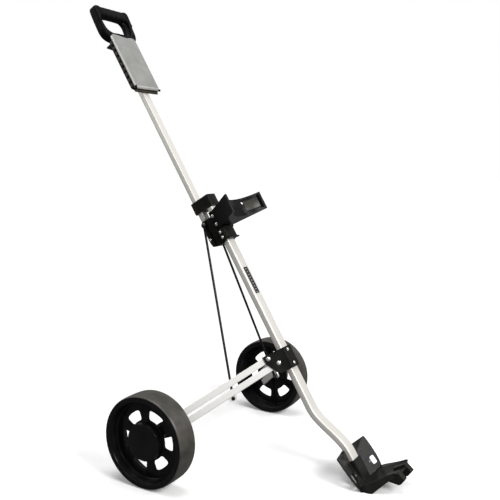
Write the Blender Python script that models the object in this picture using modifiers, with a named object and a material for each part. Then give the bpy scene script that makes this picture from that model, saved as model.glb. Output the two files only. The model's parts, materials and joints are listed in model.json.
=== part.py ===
"""Two-wheel folding golf pull cart: a leaning spine tube with a bag cradle at each end, two folding legs that
carry the wheels, and a sliding handle tube whose bracket folds both legs through a pair of push rods.

Metres, +Z up. X runs along the axles, -Y is the bag side, and the handle leans back towards +Y.
Everything on the spine is drawn in the spine's own frame: x across, y to the rear, z up along the tube.
Everything on a leg is drawn in the leg's frame: x out along the leg, y to the front of the leg, z as the spine.
The right side is the left side mirrored.
"""

import math

import bmesh
import bpy
from mathutils import Matrix, Vector

# ---- driving dimensions -------------------------------------------------------------------------------------
WHEEL_RADIUS = 0.115
WHEEL_WIDTH = 0.062
TRACK = 0.606                      # between the wheel centres
AXLE_Y = 0.0786                    # puts the middle of the whole cart's length on the origin
LEAN = math.radians(31.35)         # of the spine from the vertical
HUB_BEHIND_AXLE = -0.2144          # from the axle line forward to the spine at the hub, in Y
HUB_HEIGHT = 0.27165

TUBE = Vector((0.0346, 0.0170))    # spine tube section, across and front to back
TUBE_WALL = 0.0016
TUBE_TOP = 0.452
TUBE_BEND_START = -0.135
TUBE_END = Vector((-0.043, -0.335))    # y and z of the tube's lower end
HANDLE_TUBE = Vector((0.0262, 0.0150))
HANDLE_TUBE_Y = 0.0375
HANDLE_TUBE_SPAN = (0.368, 0.985)

LEG_ANGLE = math.radians(50)       # of a leg from the axle direction, seen along the spine
LEG_DROP = math.radians(6)         # below square to the spine
LEG_LENGTH = 0.310                 # between the pivots of one bar
LEG_ORIGIN = Vector((-0.020, -0.010, 0.0))
PIVOT_UPPER = Vector((0.043, 0.023))   # leg frame x and z of the upper bar's pivot at the hub
PIVOT_LOWER = Vector((0.023, 0.002))
BAR_WIDTH = 0.0168
BAR_FRONT = -0.0035                # leg frame y of a bar's front and rear faces
BAR_REAR = -0.0125
PLATE = 0.0030                     # thickness of the moulded bracket plates
PIN_RADIUS = 0.0032
GAP = 0.0003                       # between pieces that touch
HOLE = PIN_RADIUS + 0.0004

STRUT_RADIUS = 0.0033
STRUT_Y = -0.0215                  # leg frame y of the push rod
STRUT_TOP = Vector((0.037, 0.418))
STRUT_FOOT = Vector((0.166, -0.027))

SLIDER_SPAN = (0.348, 0.426)
SLIDER_HALF = 0.0238
SADDLE_RADIUS = 0.1089             # of the hollow that the bag leans in
SADDLE_FRONT = -0.0660             # y of the hollow's deepest line
SADDLE_TIP = Vector((0.0880, -0.1020))
CRADLE_SPAN = (0.388, 0.438)
FOOT_SPAN = (-0.385, -0.2625)
CONSOLE_SPAN = (0.838, 1.016)


# ---- scene, collections and materials ------------------------------------------------------------------------
def clear_scene():
    for obj in list(bpy.data.objects):
        bpy.data.objects.remove(obj, do_unlink=True)


def new_collection(name):
    collection = bpy.data.collections.new(name)
    bpy.context.scene.collection.children.link(collection)
    return collection


def material(name, colour, roughness, metallic=0.0):
    made = bpy.data.materials.new(name)
    made.use_nodes = True
    shader = made.node_tree.nodes["Principled BSDF"]
    shader.inputs["Base Color"].default_value = (*colour, 1.0)
    shader.inputs["Roughness"].default_value = roughness
    shader.inputs["Metallic"].default_value = metallic
    return made


clear_scene()
PARTS = new_collection("golf_pull_cart")
CUTTERS = new_collection("cutters")
CUTTERS.hide_render = True

ALUMINIUM = material("satin_aluminium", (0.72, 0.72, 0.71), 0.32, 1.0)
STEEL = material("zinc_steel", (0.62, 0.62, 0.60), 0.30, 1.0)
BLACK_STEEL = material("black_steel", (0.02, 0.02, 0.02), 0.45, 0.6)
BLACK_PLASTIC = material("black_plastic", (0.018, 0.018, 0.020), 0.42)
GLOSS_PLASTIC = material("gloss_black_plastic", (0.010, 0.010, 0.012), 0.18)
GREY_PLASTIC = material("silver_plastic", (0.42, 0.42, 0.40), 0.38)
RUBBER = material("rubber", (0.030, 0.029, 0.028), 0.75)


# ---- frames -------------------------------------------------------------------------------------------------
def empty(name, parent=None, location=(0, 0, 0), rotation=(0, 0, 0), scale=(1, 1, 1)):
    made = bpy.data.objects.new(name, None)
    made.empty_display_size = 0.02
    made.parent = parent
    made.location = location
    made.rotation_euler = rotation
    made.scale = scale
    PARTS.objects.link(made)
    return made


# ---- shape helpers ------------------------------------------------------------------------------------------
def place(name, mesh, mat, parent, location=(0, 0, 0), rotation=(0, 0, 0)):
    made = bpy.data.objects.new(name, mesh)
    made.parent = parent
    made.location = location
    made.rotation_euler = rotation
    if mat is None:
        made.hide_render = True
        made.display_type = "WIRE"
        CUTTERS.objects.link(made)
    else:
        mesh.materials.append(mat)
        PARTS.objects.link(made)
    return made


def bevel(obj, width, segments=2):
    if width:
        mod = obj.modifiers.new("Bevel", "BEVEL")
        mod.width = width
        mod.segments = segments
        mod.limit_method = "ANGLE"
    return obj


def box(name, low, high, mat, parent, edge=0.0, segments=1, edge_axis=None):
    """A box between two corners. With edge_axis only the edges along that axis are rounded."""
    mesh = bpy.data.meshes.new(name)
    form = bmesh.new()
    bmesh.ops.create_cube(form, size=1.0)
    low, high = Vector(low), Vector(high)
    size = high - low
    for vert in form.verts:
        vert.co = Vector(c * s for c, s in zip(vert.co, size))
    if edge and edge_axis is not None:
        along = [e for e in form.edges if abs((e.verts[0].co - e.verts[1].co)[edge_axis]) > 1e-6]
        bmesh.ops.bevel(form, geom=along, offset=edge, segments=segments, profile=0.5, affect="EDGES")
        edge = 0.0
    bmesh.ops.translate(form, verts=form.verts, vec=(low + high) / 2)
    form.to_mesh(mesh)
    form.free()
    return bevel(place(name, mesh, mat, parent), edge, segments)


def rod(name, radius, start, end, axis, centre, mat, parent, segments=16):
    """A cylinder along X, Y or Z of its parent, from start to end on that axis."""
    mesh = bpy.data.meshes.new(name)
    form = bmesh.new()
    bmesh.ops.create_cone(form, cap_ends=True, segments=segments, radius1=radius, radius2=radius,
                          depth=end - start)
    turn = Matrix.Rotation(math.pi / 2, 4, "Y") if axis == "X" else Matrix.Rotation(-math.pi / 2, 4, "X")
    if axis != "Z":
        bmesh.ops.transform(form, matrix=turn, verts=form.verts)
    place_at = Vector(centre)
    place_at["XYZ".index(axis)] = (start + end) / 2
    bmesh.ops.translate(form, verts=form.verts, vec=place_at)
    form.to_mesh(mesh)
    form.free()
    mesh.shade_smooth()
    mesh.set_sharp_from_angle(angle=math.radians(40))
    return place(name, mesh, mat, parent)


def turned(name, profile, mat, parent, location=(0, 0, 0), rotation=(0, 0, 0), steps=24, closed=False):
    """A turned piece about local Z. The profile is (radius, height) points, down the outer side."""
    mesh = bpy.data.meshes.new(name)
    form = bmesh.new()
    verts = [form.verts.new((r, 0.0, h)) for r, h in profile]
    for a, b in zip(verts, verts[1:]):
        form.edges.new((a, b))
    if closed:
        form.edges.new((verts[-1], verts[0]))
    form.to_mesh(mesh)
    form.free()
    made = place(name, mesh, mat, parent, location, rotation)
    mod = made.modifiers.new("Screw", "SCREW")
    mod.steps = steps
    mod.render_steps = steps
    mod.use_merge_vertices = True
    mod.merge_threshold = 0.00002
    mod.use_smooth_shade = True
    return made


def outline(name, points, low, high, plane, mat, parent, hole=None):
    """A flat outline filled and given thickness. plane XY, XZ or YZ names the outline's two axes."""
    curve = bpy.data.curves.new(name, "CURVE")
    curve.dimensions = "2D"
    curve.fill_mode = "BOTH"
    curve.extrude = (high - low) / 2
    for loop in [points] + ([hole] if hole else []):
        spline = curve.splines.new("POLY")
        spline.points.add(len(loop) - 1)
        for point, at in zip(spline.points, loop):
            point.co = (at[0], at[1], 0.0, 1.0)
        spline.use_cyclic_u = True
    drawn = bpy.data.objects.new(name + "_outline", curve)
    bpy.context.scene.collection.objects.link(drawn)
    graph = bpy.context.evaluated_depsgraph_get()
    mesh = bpy.data.meshes.new_from_object(drawn.evaluated_get(graph))
    bpy.data.objects.remove(drawn, do_unlink=True)
    form = bmesh.new()
    form.from_mesh(mesh)
    bmesh.ops.remove_doubles(form, verts=form.verts, dist=1e-6)
    bmesh.ops.translate(form, verts=form.verts, vec=(0, 0, (low + high) / 2))
    turns = {"XY": Matrix.Identity(4), "XZ": Matrix(((1, 0, 0, 0), (0, 0, 1, 0), (0, 1, 0, 0), (0, 0, 0, 1))),
             "YZ": Matrix(((0, 0, 1, 0), (1, 0, 0, 0), (0, 1, 0, 0), (0, 0, 0, 1)))}
    bmesh.ops.transform(form, matrix=turns[plane], verts=form.verts)
    bmesh.ops.recalc_face_normals(form, faces=form.faces)
    form.to_mesh(mesh)
    form.free()
    mesh.name = name
    return place(name, mesh, mat, parent)


def combine(target, tool, operation):
    mod = target.modifiers.new(operation.title(), "BOOLEAN")
    mod.operation = operation
    mod.object = tool
    mod.solver = "EXACT"
    return target


def cut(target, *tools):
    for tool in tools:
        combine(target, tool, "DIFFERENCE")
    return target


def join(target, *tools):
    for tool in tools:
        combine(target, tool, "UNION")
    return target


def arc(centre, radius, start, end, count):
    """Points round an arc, from start to end in degrees."""
    turns = [math.radians(start + (end - start) * i / (count - 1)) for i in range(count)]
    return [(centre[0] + radius * math.cos(t), centre[1] + radius * math.sin(t)) for t in turns]


def rounded(points, radius, count=3):
    """An outline with its corners rounded."""
    result = []
    total = len(points)
    for i, corner in enumerate(points):
        here = Vector(corner)
        before = (Vector(points[i - 1]) - here)
        after = (Vector(points[(i + 1) % total]) - here)
        reach = min(radius, before.length * 0.45, after.length * 0.45)
        first = here + before.normalized() * reach
        last = here + after.normalized() * reach
        for k in range(count + 1):
            t = k / count
            result.append(tuple(first * (1 - t) ** 2 + here * 2 * t * (1 - t) + last * t ** 2))
    return result


def rivet(name, length, mat, parent, location, rotation, head=0.0062, rise=0.0026, shank=PIN_RADIUS, foot=0.0):
    """A domed rivet or bolt: head above z = 0, shank down to -length, and a foot head where foot is a radius."""
    dome = [(head * math.sin(t), rise * math.cos(t)) for t in (0.0, 0.55, 1.05, math.pi / 2)]
    body = [(shank, 0.0), (shank, -length)]
    if foot:
        body += [(foot, -length), (foot * 0.8, -length - rise * 0.35)]
        end = -length - rise * 0.35
    else:
        end = -length
    profile = dome + body + [(0.0, end)]
    return turned(name, profile, mat, parent, location, rotation, steps=12)


# ---- spine --------------------------------------------------------------------------------------------------
def tube_path(steps=12):
    """Centre line of the spine tube as (y, z): straight, then an S-bend to the front at the foot."""
    points = [(0.0, TUBE_TOP), (0.0, 0.2), (0.0, TUBE_BEND_START)]
    drop = TUBE_BEND_START - (-0.275)
    for i in range(1, steps + 1):
        t = i / steps
        ease = t * t * (3 - 2 * t)
        points.append((TUBE_END[0] * ease, TUBE_BEND_START - drop * t))
    points.append((TUBE_END[0], TUBE_END[1]))
    return points


def swept(name, path, section, corner, mat, parent):
    """A rounded rectangular bar swept along a path in the YZ plane, square to the path at each point."""
    half = section / 2
    ring = rounded([(-half[0], -half[1]), (half[0], -half[1]), (half[0], half[1]), (-half[0], half[1])],
                   corner, 3)
    mesh = bpy.data.meshes.new(name)
    form = bmesh.new()
    rows = []
    for i, (y, z) in enumerate(path):
        before = Vector(path[max(i - 1, 0)])
        after = Vector(path[min(i + 1, len(path) - 1)])
        along = (after - before).normalized()
        side = Vector((-along[1], along[0]))
        rows.append([form.verts.new((u, y + side[0] * v, z + side[1] * v)) for u, v in ring])
    for upper, lower in zip(rows, rows[1:]):
        for k in range(len(ring)):
            form.faces.new((upper[k - 1], upper[k], lower[k], lower[k - 1]))
    form.faces.new(rows[0])
    form.faces.new(rows[-1])
    bmesh.ops.recalc_face_normals(form, faces=form.faces)
    form.to_mesh(mesh)
    form.free()
    mesh.shade_smooth()
    mesh.set_sharp_from_angle(angle=math.radians(30))
    return place(name, mesh, mat, parent)


def main_tube(spine):
    path = tube_path()
    tube = swept("main_tube", path, TUBE, 0.0045, ALUMINIUM, spine)
    inner = [(0.0, TUBE_TOP + 0.01)] + path[1:-1] + [(TUBE_END[0], TUBE_END[1] - 0.01)]
    bore = swept("main_tube_bore", inner, TUBE - Vector((2, 2)) * TUBE_WALL, 0.003, None, spine)
    cut(tube, bore)
    for height in (SCREW_UPPER, SCREW_LOWER):
        cut(tube, rod(f"tube_hole_{height}", 0.0026, -0.02, 0.0, "Y", (0, 0, height), None, spine, 12))
    return tube


SCREW_UPPER = 0.024
SCREW_LOWER = -0.014
COLLAR_SPAN = (0.4535, 0.486)


def top_collar(spine):
    """End cap of the spine with a plug in the tube and a guide that the handle tube slides in."""
    low, high = COLLAR_SPAN
    collar = box("top_collar", (-0.0205, -0.0145, low), (0.0205, 0.0485, high), BLACK_PLASTIC, spine,
                 0.0045, 2, edge_axis=2)
    inner = TUBE / 2 - Vector((1, 1)) * (TUBE_WALL + GAP)
    plug = box("collar_plug", (-inner[0], -inner[1], low - 0.022), (inner[0], inner[1], low + 0.004), None, spine,
               0.002, 2, edge_axis=2)
    join(collar, plug)
    half = HANDLE_TUBE / 2 + Vector((1, 1)) * 0.0019
    cut(collar, box("collar_guide_cut", (-half[0], HANDLE_TUBE_Y - half[1], low - 0.01),
                    (half[0], HANDLE_TUBE_Y + half[1], high + 0.01), None, spine))
    cut(collar, box("collar_side_panel_l", (-0.03, 0.0, low + 0.006), (-0.0198, 0.040, high - 0.006), None, spine))
    cut(collar, box("collar_side_panel_r", (0.0198, 0.0, low + 0.006), (0.03, 0.040, high - 0.006), None, spine))
    return collar


def guide_bush(spine):
    """Plastic bush in the collar that the handle tube slides through."""
    low, high = COLLAR_SPAN
    outer = HANDLE_TUBE / 2 + Vector((1, 1)) * 0.0016
    inner = HANDLE_TUBE / 2 + Vector((1, 1)) * GAP
    bush = box("handle_guide_bush", (-outer[0], HANDLE_TUBE_Y - outer[1], low + 0.001),
               (outer[0], HANDLE_TUBE_Y + outer[1], high - 0.001), GREY_PLASTIC, spine)
    return cut(bush, box("bush_bore", (-inner[0], HANDLE_TUBE_Y - inner[1], low - 0.01),
                         (inner[0], HANDLE_TUBE_Y + inner[1], high + 0.01), None, spine))


def leg_point(out, front, height):
    """A point of the left leg's frame in the spine's frame."""
    x = LEG_ORIGIN[0] - math.cos(LEG_ANGLE) * out - math.sin(LEG_ANGLE) * front
    y = LEG_ORIGIN[1] + math.sin(LEG_ANGLE) * out - math.cos(LEG_ANGLE) * front
    return Vector((x, y, height))


HUB_SPAN = (-0.024, 0.033)


def hub_wing_trim(side, name):
    """Cutter that slants the lower rear corner of a hub wing."""
    points = [(0.0285, -0.030), (0.0285, -0.0235), (0.0425, -0.007), (0.0535, 0.014), (0.0555, 0.040),
              (0.080, 0.040), (0.080, -0.030)]
    return outline(name, points, -0.030, 0.010, "XZ", None, side)


def hub_front_shell(spine, sides):
    """Folded bracket: a front face over the tube and two wings that the leg bars lie behind."""
    def pair(out, front):
        point = leg_point(out, front, 0)
        return (point[0], point[1])
    left = [pair(0.0, -PLATE), pair(0.060, -PLATE), pair(0.060, 0.0), pair(0.004, 0.0), (-0.0190, -0.0145)]
    first = (left[0][0], -0.0092)
    half = [first] + left
    mirror = [(-x, y) for x, y in reversed(half)]
    shell = outline("hub_front_shell", half + mirror, HUB_SPAN[0], HUB_SPAN[1], "XY", BLACK_PLASTIC, spine)
    for side, word in zip(sides, ("left", "right")):
        cut(shell, hub_wing_trim(side, f"hub_wing_trim_{word}"))
        for label, pivot in (("upper", PIVOT_UPPER), ("lower", PIVOT_LOWER)):
            cut(shell, rod(f"shell_pin_hole_{label}_{word}", HOLE, -0.006, 0.004, "Y",
                           (pivot[0], 0, pivot[1]), None, side, 12))
    for height in (SCREW_UPPER, SCREW_LOWER):
        cut(shell, rod(f"shell_screw_hole_{height}", 0.0026, -0.02, 0.0, "Y", (0, 0, height), None, spine, 12))
    return shell


def hub_rear_bracket(spine, sides):
    """Rear half of the hub: a web behind the tube and a plate behind each pair of bars."""
    low, high = HUB_SPAN
    web = box("hub_rear_bracket", (-0.0118, TUBE[1] / 2 + GAP, low), (0.0118, 0.0335, high), BLACK_PLASTIC, spine)
    rear = BAR_REAR - GAP
    for side, word in zip(sides, ("left", "right")):
        plate = outline(f"hub_rear_plate_{word}", [(0.0125, low + 0.0008), (0.0285, low + 0.0008),
                        (0.0425, -0.007), (0.0535, 0.014), (0.0555, high - 0.0008), (0.0125, high - 0.0008)],
                        rear - PLATE, rear, "XZ", None, side)
        arm = outline(f"hub_rear_arm_{word}", [(0.010, low + 0.0016), (0.0178, low + 0.0016),
                      (0.0178, high - 0.0016), (0.010, high - 0.0016)], rear - 0.012, rear - 0.0006, "XZ", None, side)
        join(web, plate)
        join(web, arm)
        for label, pivot in (("upper", PIVOT_UPPER), ("lower", PIVOT_LOWER)):
            cut(web, rod(f"rear_pin_hole_{label}_{word}", HOLE, -0.030, -0.010, "Y",
                         (pivot[0], 0, pivot[1]), None, side, 12))
    cut(web, box("rear_tube_clearance", (-TUBE[0] / 2 - GAP, -0.03, low - 0.01),
                 (TUBE[0] / 2 + GAP, TUBE[1] / 2 + GAP, high + 0.01), None, spine))
    return web


def hub_screws(spine):
    for height, word in ((SCREW_UPPER, "upper"), (SCREW_LOWER, "lower")):
        rivet(f"hub_screw_{word}", 0.0085, STEEL, spine, (0, -0.0148, height), (math.pi / 2, 0, 0),
              head=0.0048, rise=0.0020, shank=0.0022)


# ---- legs ---------------------------------------------------------------------------------------------------
def bar_direction():
    return Vector((math.cos(LEG_DROP), -math.sin(LEG_DROP)))


def leg_bar(name, pivot_frame, with_lug):
    """A rectangular tube bar lying along its own frame's x, from its hub pivot at the origin."""
    half = BAR_WIDTH / 2
    bar = box(name, (-0.0075, BAR_REAR, -half), (LEG_LENGTH + 0.0085, BAR_FRONT, half), ALUMINIUM, pivot_frame,
              0.0012, 1, edge_axis=0)
    if with_lug:
        bolt = at_lug()
        lug = outline(name + "_lug", rounded([(bolt[0] - 0.012, -0.006), (bolt[0] + 0.012, -0.006),
                      (bolt[0] + 0.008, bolt[1] - 0.008), (bolt[0] - 0.008, bolt[1] - 0.008)], 0.004, 2),
                      BAR_REAR - 0.0026, BAR_REAR + 0.0010, "XZ", None, pivot_frame)
        join(bar, lug)
    wall = 0.0014
    cut(bar, box(name + "_bore", (-0.02, BAR_REAR + wall, -half + wall),
                 (LEG_LENGTH + 0.02, BAR_FRONT - wall, half - wall), None, pivot_frame))
    for at in (0.0, LEG_LENGTH):
        cut(bar, rod(f"{name}_hole_{at:.0f}_{at > 0}", HOLE, -0.02, 0.004, "Y", (at, 0, 0), None, pivot_frame, 12))
    if with_lug:
        cut(bar, rod(name + "_lug_hole", 0.0028, -0.02, -0.0100, "Y", (bolt[0], 0, bolt[1]), None, pivot_frame, 12))
    return bar


def at_lug():
    """The push rod bolt in the lower bar's own frame."""
    return Matrix.Rotation(LEG_DROP, 2) @ (STRUT_FOOT - PIVOT_LOWER)


def leg_pin(name, frame, at, length, front):
    """A pivot rivet through the plates and a bar, along the leg frame's y."""
    return rivet(name, length, STEEL, frame, (at[0], front, at[1]), (-math.pi / 2, 0, 0), head=0.0056, rise=0.0022,
                 foot=0.0044)


def carrier_outline():
    """Round-cornered plate over the two bar pins and the axle boss, in the leg frame."""
    upper, lower = carrier_pivots()
    return rounded([(lower[0] - 0.012, lower[1] - 0.010), (upper[0] - 0.013, upper[1] + 0.011),
                    (upper[0] + 0.014, upper[1] + 0.011), (upper[0] + 0.026, -0.014),
                    (upper[0] + 0.024, -0.034), (lower[0] + 0.012, lower[1] - 0.012)], 0.007, 3)


def carrier_pivots():
    reach = bar_direction() * LEG_LENGTH
    return PIVOT_UPPER + reach, PIVOT_LOWER + reach


def axle_carrier(name, leg, axle_frame):
    """Plate on the bars' outer ends with a boss for the axle, always square to the wheel."""
    plate = outline(name, carrier_outline(), -PLATE, 0.0, "XZ", BLACK_PLASTIC, leg)
    boss = rod(name + "_boss", 0.0125, BOSS_SPAN[0], BOSS_SPAN[1], "X", (0, 0, 0), None, axle_frame, 24)
    join(plate, boss)
    cut(plate, box(name + "_behind", (0.25, -0.05, -0.10), (0.45, -PLATE, 0.06), None, leg))
    cut(plate, rod(name + "_axle_hole", AXLE_RADIUS + GAP, -0.04, AXLE_INNER + GAP, "X", (0, 0, 0), None, axle_frame,
                   16))
    for at in carrier_pivots():
        cut(plate, rod(f"{name}_hole_{at[0]:.3f}", HOLE, -0.01, 0.01, "Y", (at[0], 0, at[1]), None, leg, 12))
        cut(plate, rod(f"{name}_head_room_{at[0]:.3f}", 0.0072, 0.0, 0.03, "Y", (at[0], 0, at[1]), None, leg, 14))
    return plate


AXLE_RADIUS = 0.0050
AXLE_INNER = 0.0500
BOSS_SPAN = (WHEEL_WIDTH / 2 - 0.0035, 0.074)   # inboard of the wheel centre, along the axle


# ---- wheels -------------------------------------------------------------------------------------------------
RIM_RADIUS = 0.1008
DISC_SPAN = (0.008, 0.012)         # the slotted disc, outboard of the wheel centre
DRUM_RADIUS = 0.046
SLOT_RADII = (0.0505, 0.0745)
SLOT_COUNT = 6
SLOT_ANGLE = 40.0
SLOT_PHASE = 52.0
HUB_INNER = -0.0245


def tyre(name, wheel):
    """Broad tread band with rounded shoulders, turned about the axle."""
    half = WHEEL_WIDTH / 2
    shoulder = 0.010
    outer = [(WHEEL_RADIUS - 0.0012 - (1 - math.cos(t)) * (shoulder * 0.5),
              half - shoulder + math.sin(t) * shoulder) for t in (1.57, 1.1, 0.6)]
    crown = [(WHEEL_RADIUS - 0.0008, half - shoulder), (WHEEL_RADIUS, 0.010)]
    upper = outer + crown
    lower = [(r, -z) for r, z in reversed(upper)]
    seat = RIM_RADIUS + GAP
    profile = upper + lower + [(seat, -half), (seat, half)]
    return turned(name, profile, RUBBER, wheel, steps=48, closed=True, rotation=(0, -math.pi / 2, 0))


def rim(name, wheel):
    """Deep-dish moulded wheel: barrel, slotted disc, hub drum and bearing boss in one."""
    low, high = DISC_SPAN
    half = WHEEL_WIDTH / 2 - 0.0012
    bore = AXLE_RADIUS + GAP
    profile = [(RIM_RADIUS, half), (RIM_RADIUS, -half), (0.0978, -half), (0.0978, low), (0.0150, low),
               (0.0140, HUB_INNER), (bore, HUB_INNER), (bore, 0.0180), (0.0140, 0.0180), (0.0150, high),
               (DRUM_RADIUS - 0.003, high), (DRUM_RADIUS - 0.003, 0.0255), (DRUM_RADIUS, 0.0255),
               (DRUM_RADIUS + 0.001, high), (0.0978, high), (0.0978, half)]
    made = turned(name, profile, GLOSS_PLASTIC, wheel, steps=48, closed=True, rotation=(0, -math.pi / 2, 0))
    for i in range(SLOT_COUNT):
        middle = SLOT_PHASE + i * 360 / SLOT_COUNT
        start, end = middle - SLOT_ANGLE / 2, middle + SLOT_ANGLE / 2
        inner, outer = SLOT_RADII
        ring = arc((0, 0), outer, start, end, 7) + arc((0, 0), inner, end, start, 6)
        slot = outline(f"{name}_slot_{i}", rounded(ring, 0.004, 2), -0.030, 0.0, "YZ", None, wheel)
        cut(made, slot)
    return made


def hub_cap(name, wheel):
    """Shallow domed cap that closes the hub drum, with a spigot inside it."""
    spigot = DRUM_RADIUS - 0.003 - GAP
    base = 0.0255 + GAP
    dome = [(DRUM_RADIUS * math.sin(t) / math.sin(0.5), base + 0.0012 + 0.0036 * (math.cos(t) - math.cos(0.5))
             / (1 - math.cos(0.5))) for t in (0.0, 0.15, 0.3, 0.42, 0.5)]
    profile = dome + [(DRUM_RADIUS, base), (spigot, base), (spigot, base - 0.006), (spigot - 0.002, base - 0.006),
                      (spigot - 0.002, base), (0.0, base)]
    return turned(name, profile, GLOSS_PLASTIC, wheel, steps=32, rotation=(0, -math.pi / 2, 0))


def axle(name, axle_frame):
    """Steel axle pressed in the carrier, with a head outside the wheel's boss."""
    inner = -AXLE_INNER
    head = 0.0180 + GAP
    profile = [(0.0, head + 0.003), (0.0080, head + 0.003), (0.0080, head), (AXLE_RADIUS, head),
               (AXLE_RADIUS, inner), (0.0, inner)]
    return turned(name, profile, STEEL, axle_frame, steps=16, rotation=(0, -math.pi / 2, 0))


# ---- push rods ----------------------------------------------------------------------------------
def strut(name, frame, length):
    """Round push rod hanging from its top pivot along the frame's -z, with flattened ends."""
    body = rod(name, STRUT_RADIUS, -length + 0.006, -0.006, "Z", (0, 0, 0), BLACK_STEEL, frame, 10)
    top = rod(name + "_eye", 0.0062, -0.0028, 0.0028, "Y", (0, 0, 0), None, frame, 14)
    end = rod(name + "_end", 0.0062, -0.0028, 0.0028, "Y", (0, 0, -length), None, frame, 14)
    join(body, top, end)
    return cut(body, rod(name + "_eye_hole", 0.0029, -0.01, 0.01, "Y", (0, 0, 0), None, frame, 10))


def strut_bolt(name, frame):
    """Bolt fixed in the lower bar's lug that the foot of the push rod bears on."""
    at = at_lug()
    return rivet(name, 0.0042, BLACK_STEEL, frame, (at[0], BAR_REAR + 0.0011, at[1]), (-math.pi / 2, 0, 0),
                 head=0.0052, rise=0.0030, shank=0.0025)


# ---- slider and cradle --------------------------------------------------------------------------------------
ARM_RIVETS = (0.4245, 0.4005)
CLAMP_BOLTS = (0.376, 0.3615)
CLAMP_SPAN = (0.352, 0.385)
CLAMP_HALF = 0.0275


def slider_body(carriage, side_frames):
    """Moulded bracket that slides on the spine and grips the foot of the handle tube."""
    low, high = SLIDER_SPAN
    side_view = [(-0.0108, low + 0.004), (-0.0108, high), (0.0380, high + 0.001), (0.0462, high - 0.004),
                 (0.0462, low + 0.016), (0.0390, low + 0.004), (0.0110, low - 0.001), (0.0, low)]
    body = outline("slider_body", rounded(side_view, 0.004, 2), -SLIDER_HALF, SLIDER_HALF, "YZ", BLACK_PLASTIC,
                   carriage)
    for sign, word in ((-1, "left"), (1, "right")):
        cut(body, outline(f"slider_chamfer_{word}", [(sign * 0.0240, 0.0365), (sign * 0.0160, 0.0470),
                          (sign * 0.0160, 0.0600), (sign * 0.0400, 0.0600), (sign * 0.0400, 0.0365)],
                          low - 0.01, high + 0.01, "XY", None, carriage))
    for frame, word in side_frames:
        lug = rod(f"strut_lug_{word}", 0.0068, STRUT_Y - 0.0130, STRUT_Y - 0.0037, "Y",
                  (STRUT_TOP[0], 0, STRUT_TOP[1]), None, frame, 14)
        join(body, lug)
    tube = TUBE / 2 + Vector((1, 1)) * 0.0005
    cut(body, box("slider_tube_channel", (-tube[0], -tube[1], low - 0.01), (tube[0], tube[1], high + 0.01), None,
                  carriage, 0.003, 1, edge_axis=2))
    grip = HANDLE_TUBE / 2 + Vector((1, 1)) * GAP
    cut(body, box("slider_handle_socket", (-grip[0], HANDLE_TUBE_Y - grip[1], HANDLE_TUBE_SPAN[0] - GAP),
                  (grip[0], HANDLE_TUBE_Y + grip[1], high + 0.01), None, carriage))
    for sign, word in ((-1, "left"), (1, "right")):
        for height in ARM_RIVETS + CLAMP_BOLTS:
            cut(body, rod(f"slider_hole_{word}_{height}", 0.0021, *sorted((sign * 0.0182, sign * 0.04)), "X",
                          (0, BOLT_Y, height), None, carriage, 10))
    cut(body, rod("slider_handle_bolt_hole", 0.0028, -0.04, 0.04, "X", (0, *HANDLE_BOLT), None, carriage, 10))
    for frame, word in side_frames:
        slot = box(f"strut_eye_slot_{word}", (STRUT_TOP[0] - 0.0085, STRUT_Y - 0.0036, STRUT_TOP[1] - 0.10),
                   (STRUT_TOP[0] + 0.03, STRUT_Y + 0.0060, STRUT_TOP[1] + 0.0085), None, frame)
        cut(body, slot)
        cut(body, rod(f"slider_strut_pin_hole_{word}", 0.0029, STRUT_Y - 0.0105, STRUT_Y + 0.004, "Y",
                      (STRUT_TOP[0], 0, STRUT_TOP[1]), None, frame, 10))
    return body


BOLT_Y = -0.0035
HANDLE_BOLT = (HANDLE_TUBE_Y + 0.0010, 0.3735)


def through_bolt(name, carriage, y, height, reach):
    """A bolt across the whole bracket, domed at both ends and low enough to pass the folded push rods."""
    dome = [(0.0040 * math.sin(t), reach + 0.0012 * math.cos(t)) for t in (0.0, 0.6, 1.1, math.pi / 2)]
    lower = [(r, -z) for r, z in reversed(dome)]
    profile = dome + [(0.0025, reach), (0.0025, -reach)] + lower
    return turned(name, profile, STEEL, carriage, (0, y, height), (0, -math.pi / 2, 0), steps=14)


def side_screws(side, word):
    """Short screws into the slider's side wall, through the cradle arm and through the front clamp."""
    arm = SLIDER_HALF + GAP + 0.0026
    for label, height in zip(("upper", "lower"), ARM_RIVETS):
        rivet(f"cradle_screw_{label}_{word}", 0.0062, STEEL, side, (-arm - 0.0001, BOLT_Y, height),
              (0, -math.pi / 2, 0), head=0.0046, rise=0.0020, shank=0.0018)
    for label, height in zip(("upper", "lower"), CLAMP_BOLTS):
        rivet(f"clamp_screw_{label}_{word}", 0.0066, STEEL, side, (-CLAMP_HALF - 0.0001, BOLT_Y, height),
              (0, -math.pi / 2, 0), head=0.0040, rise=0.0018, shank=0.0018)


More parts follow.
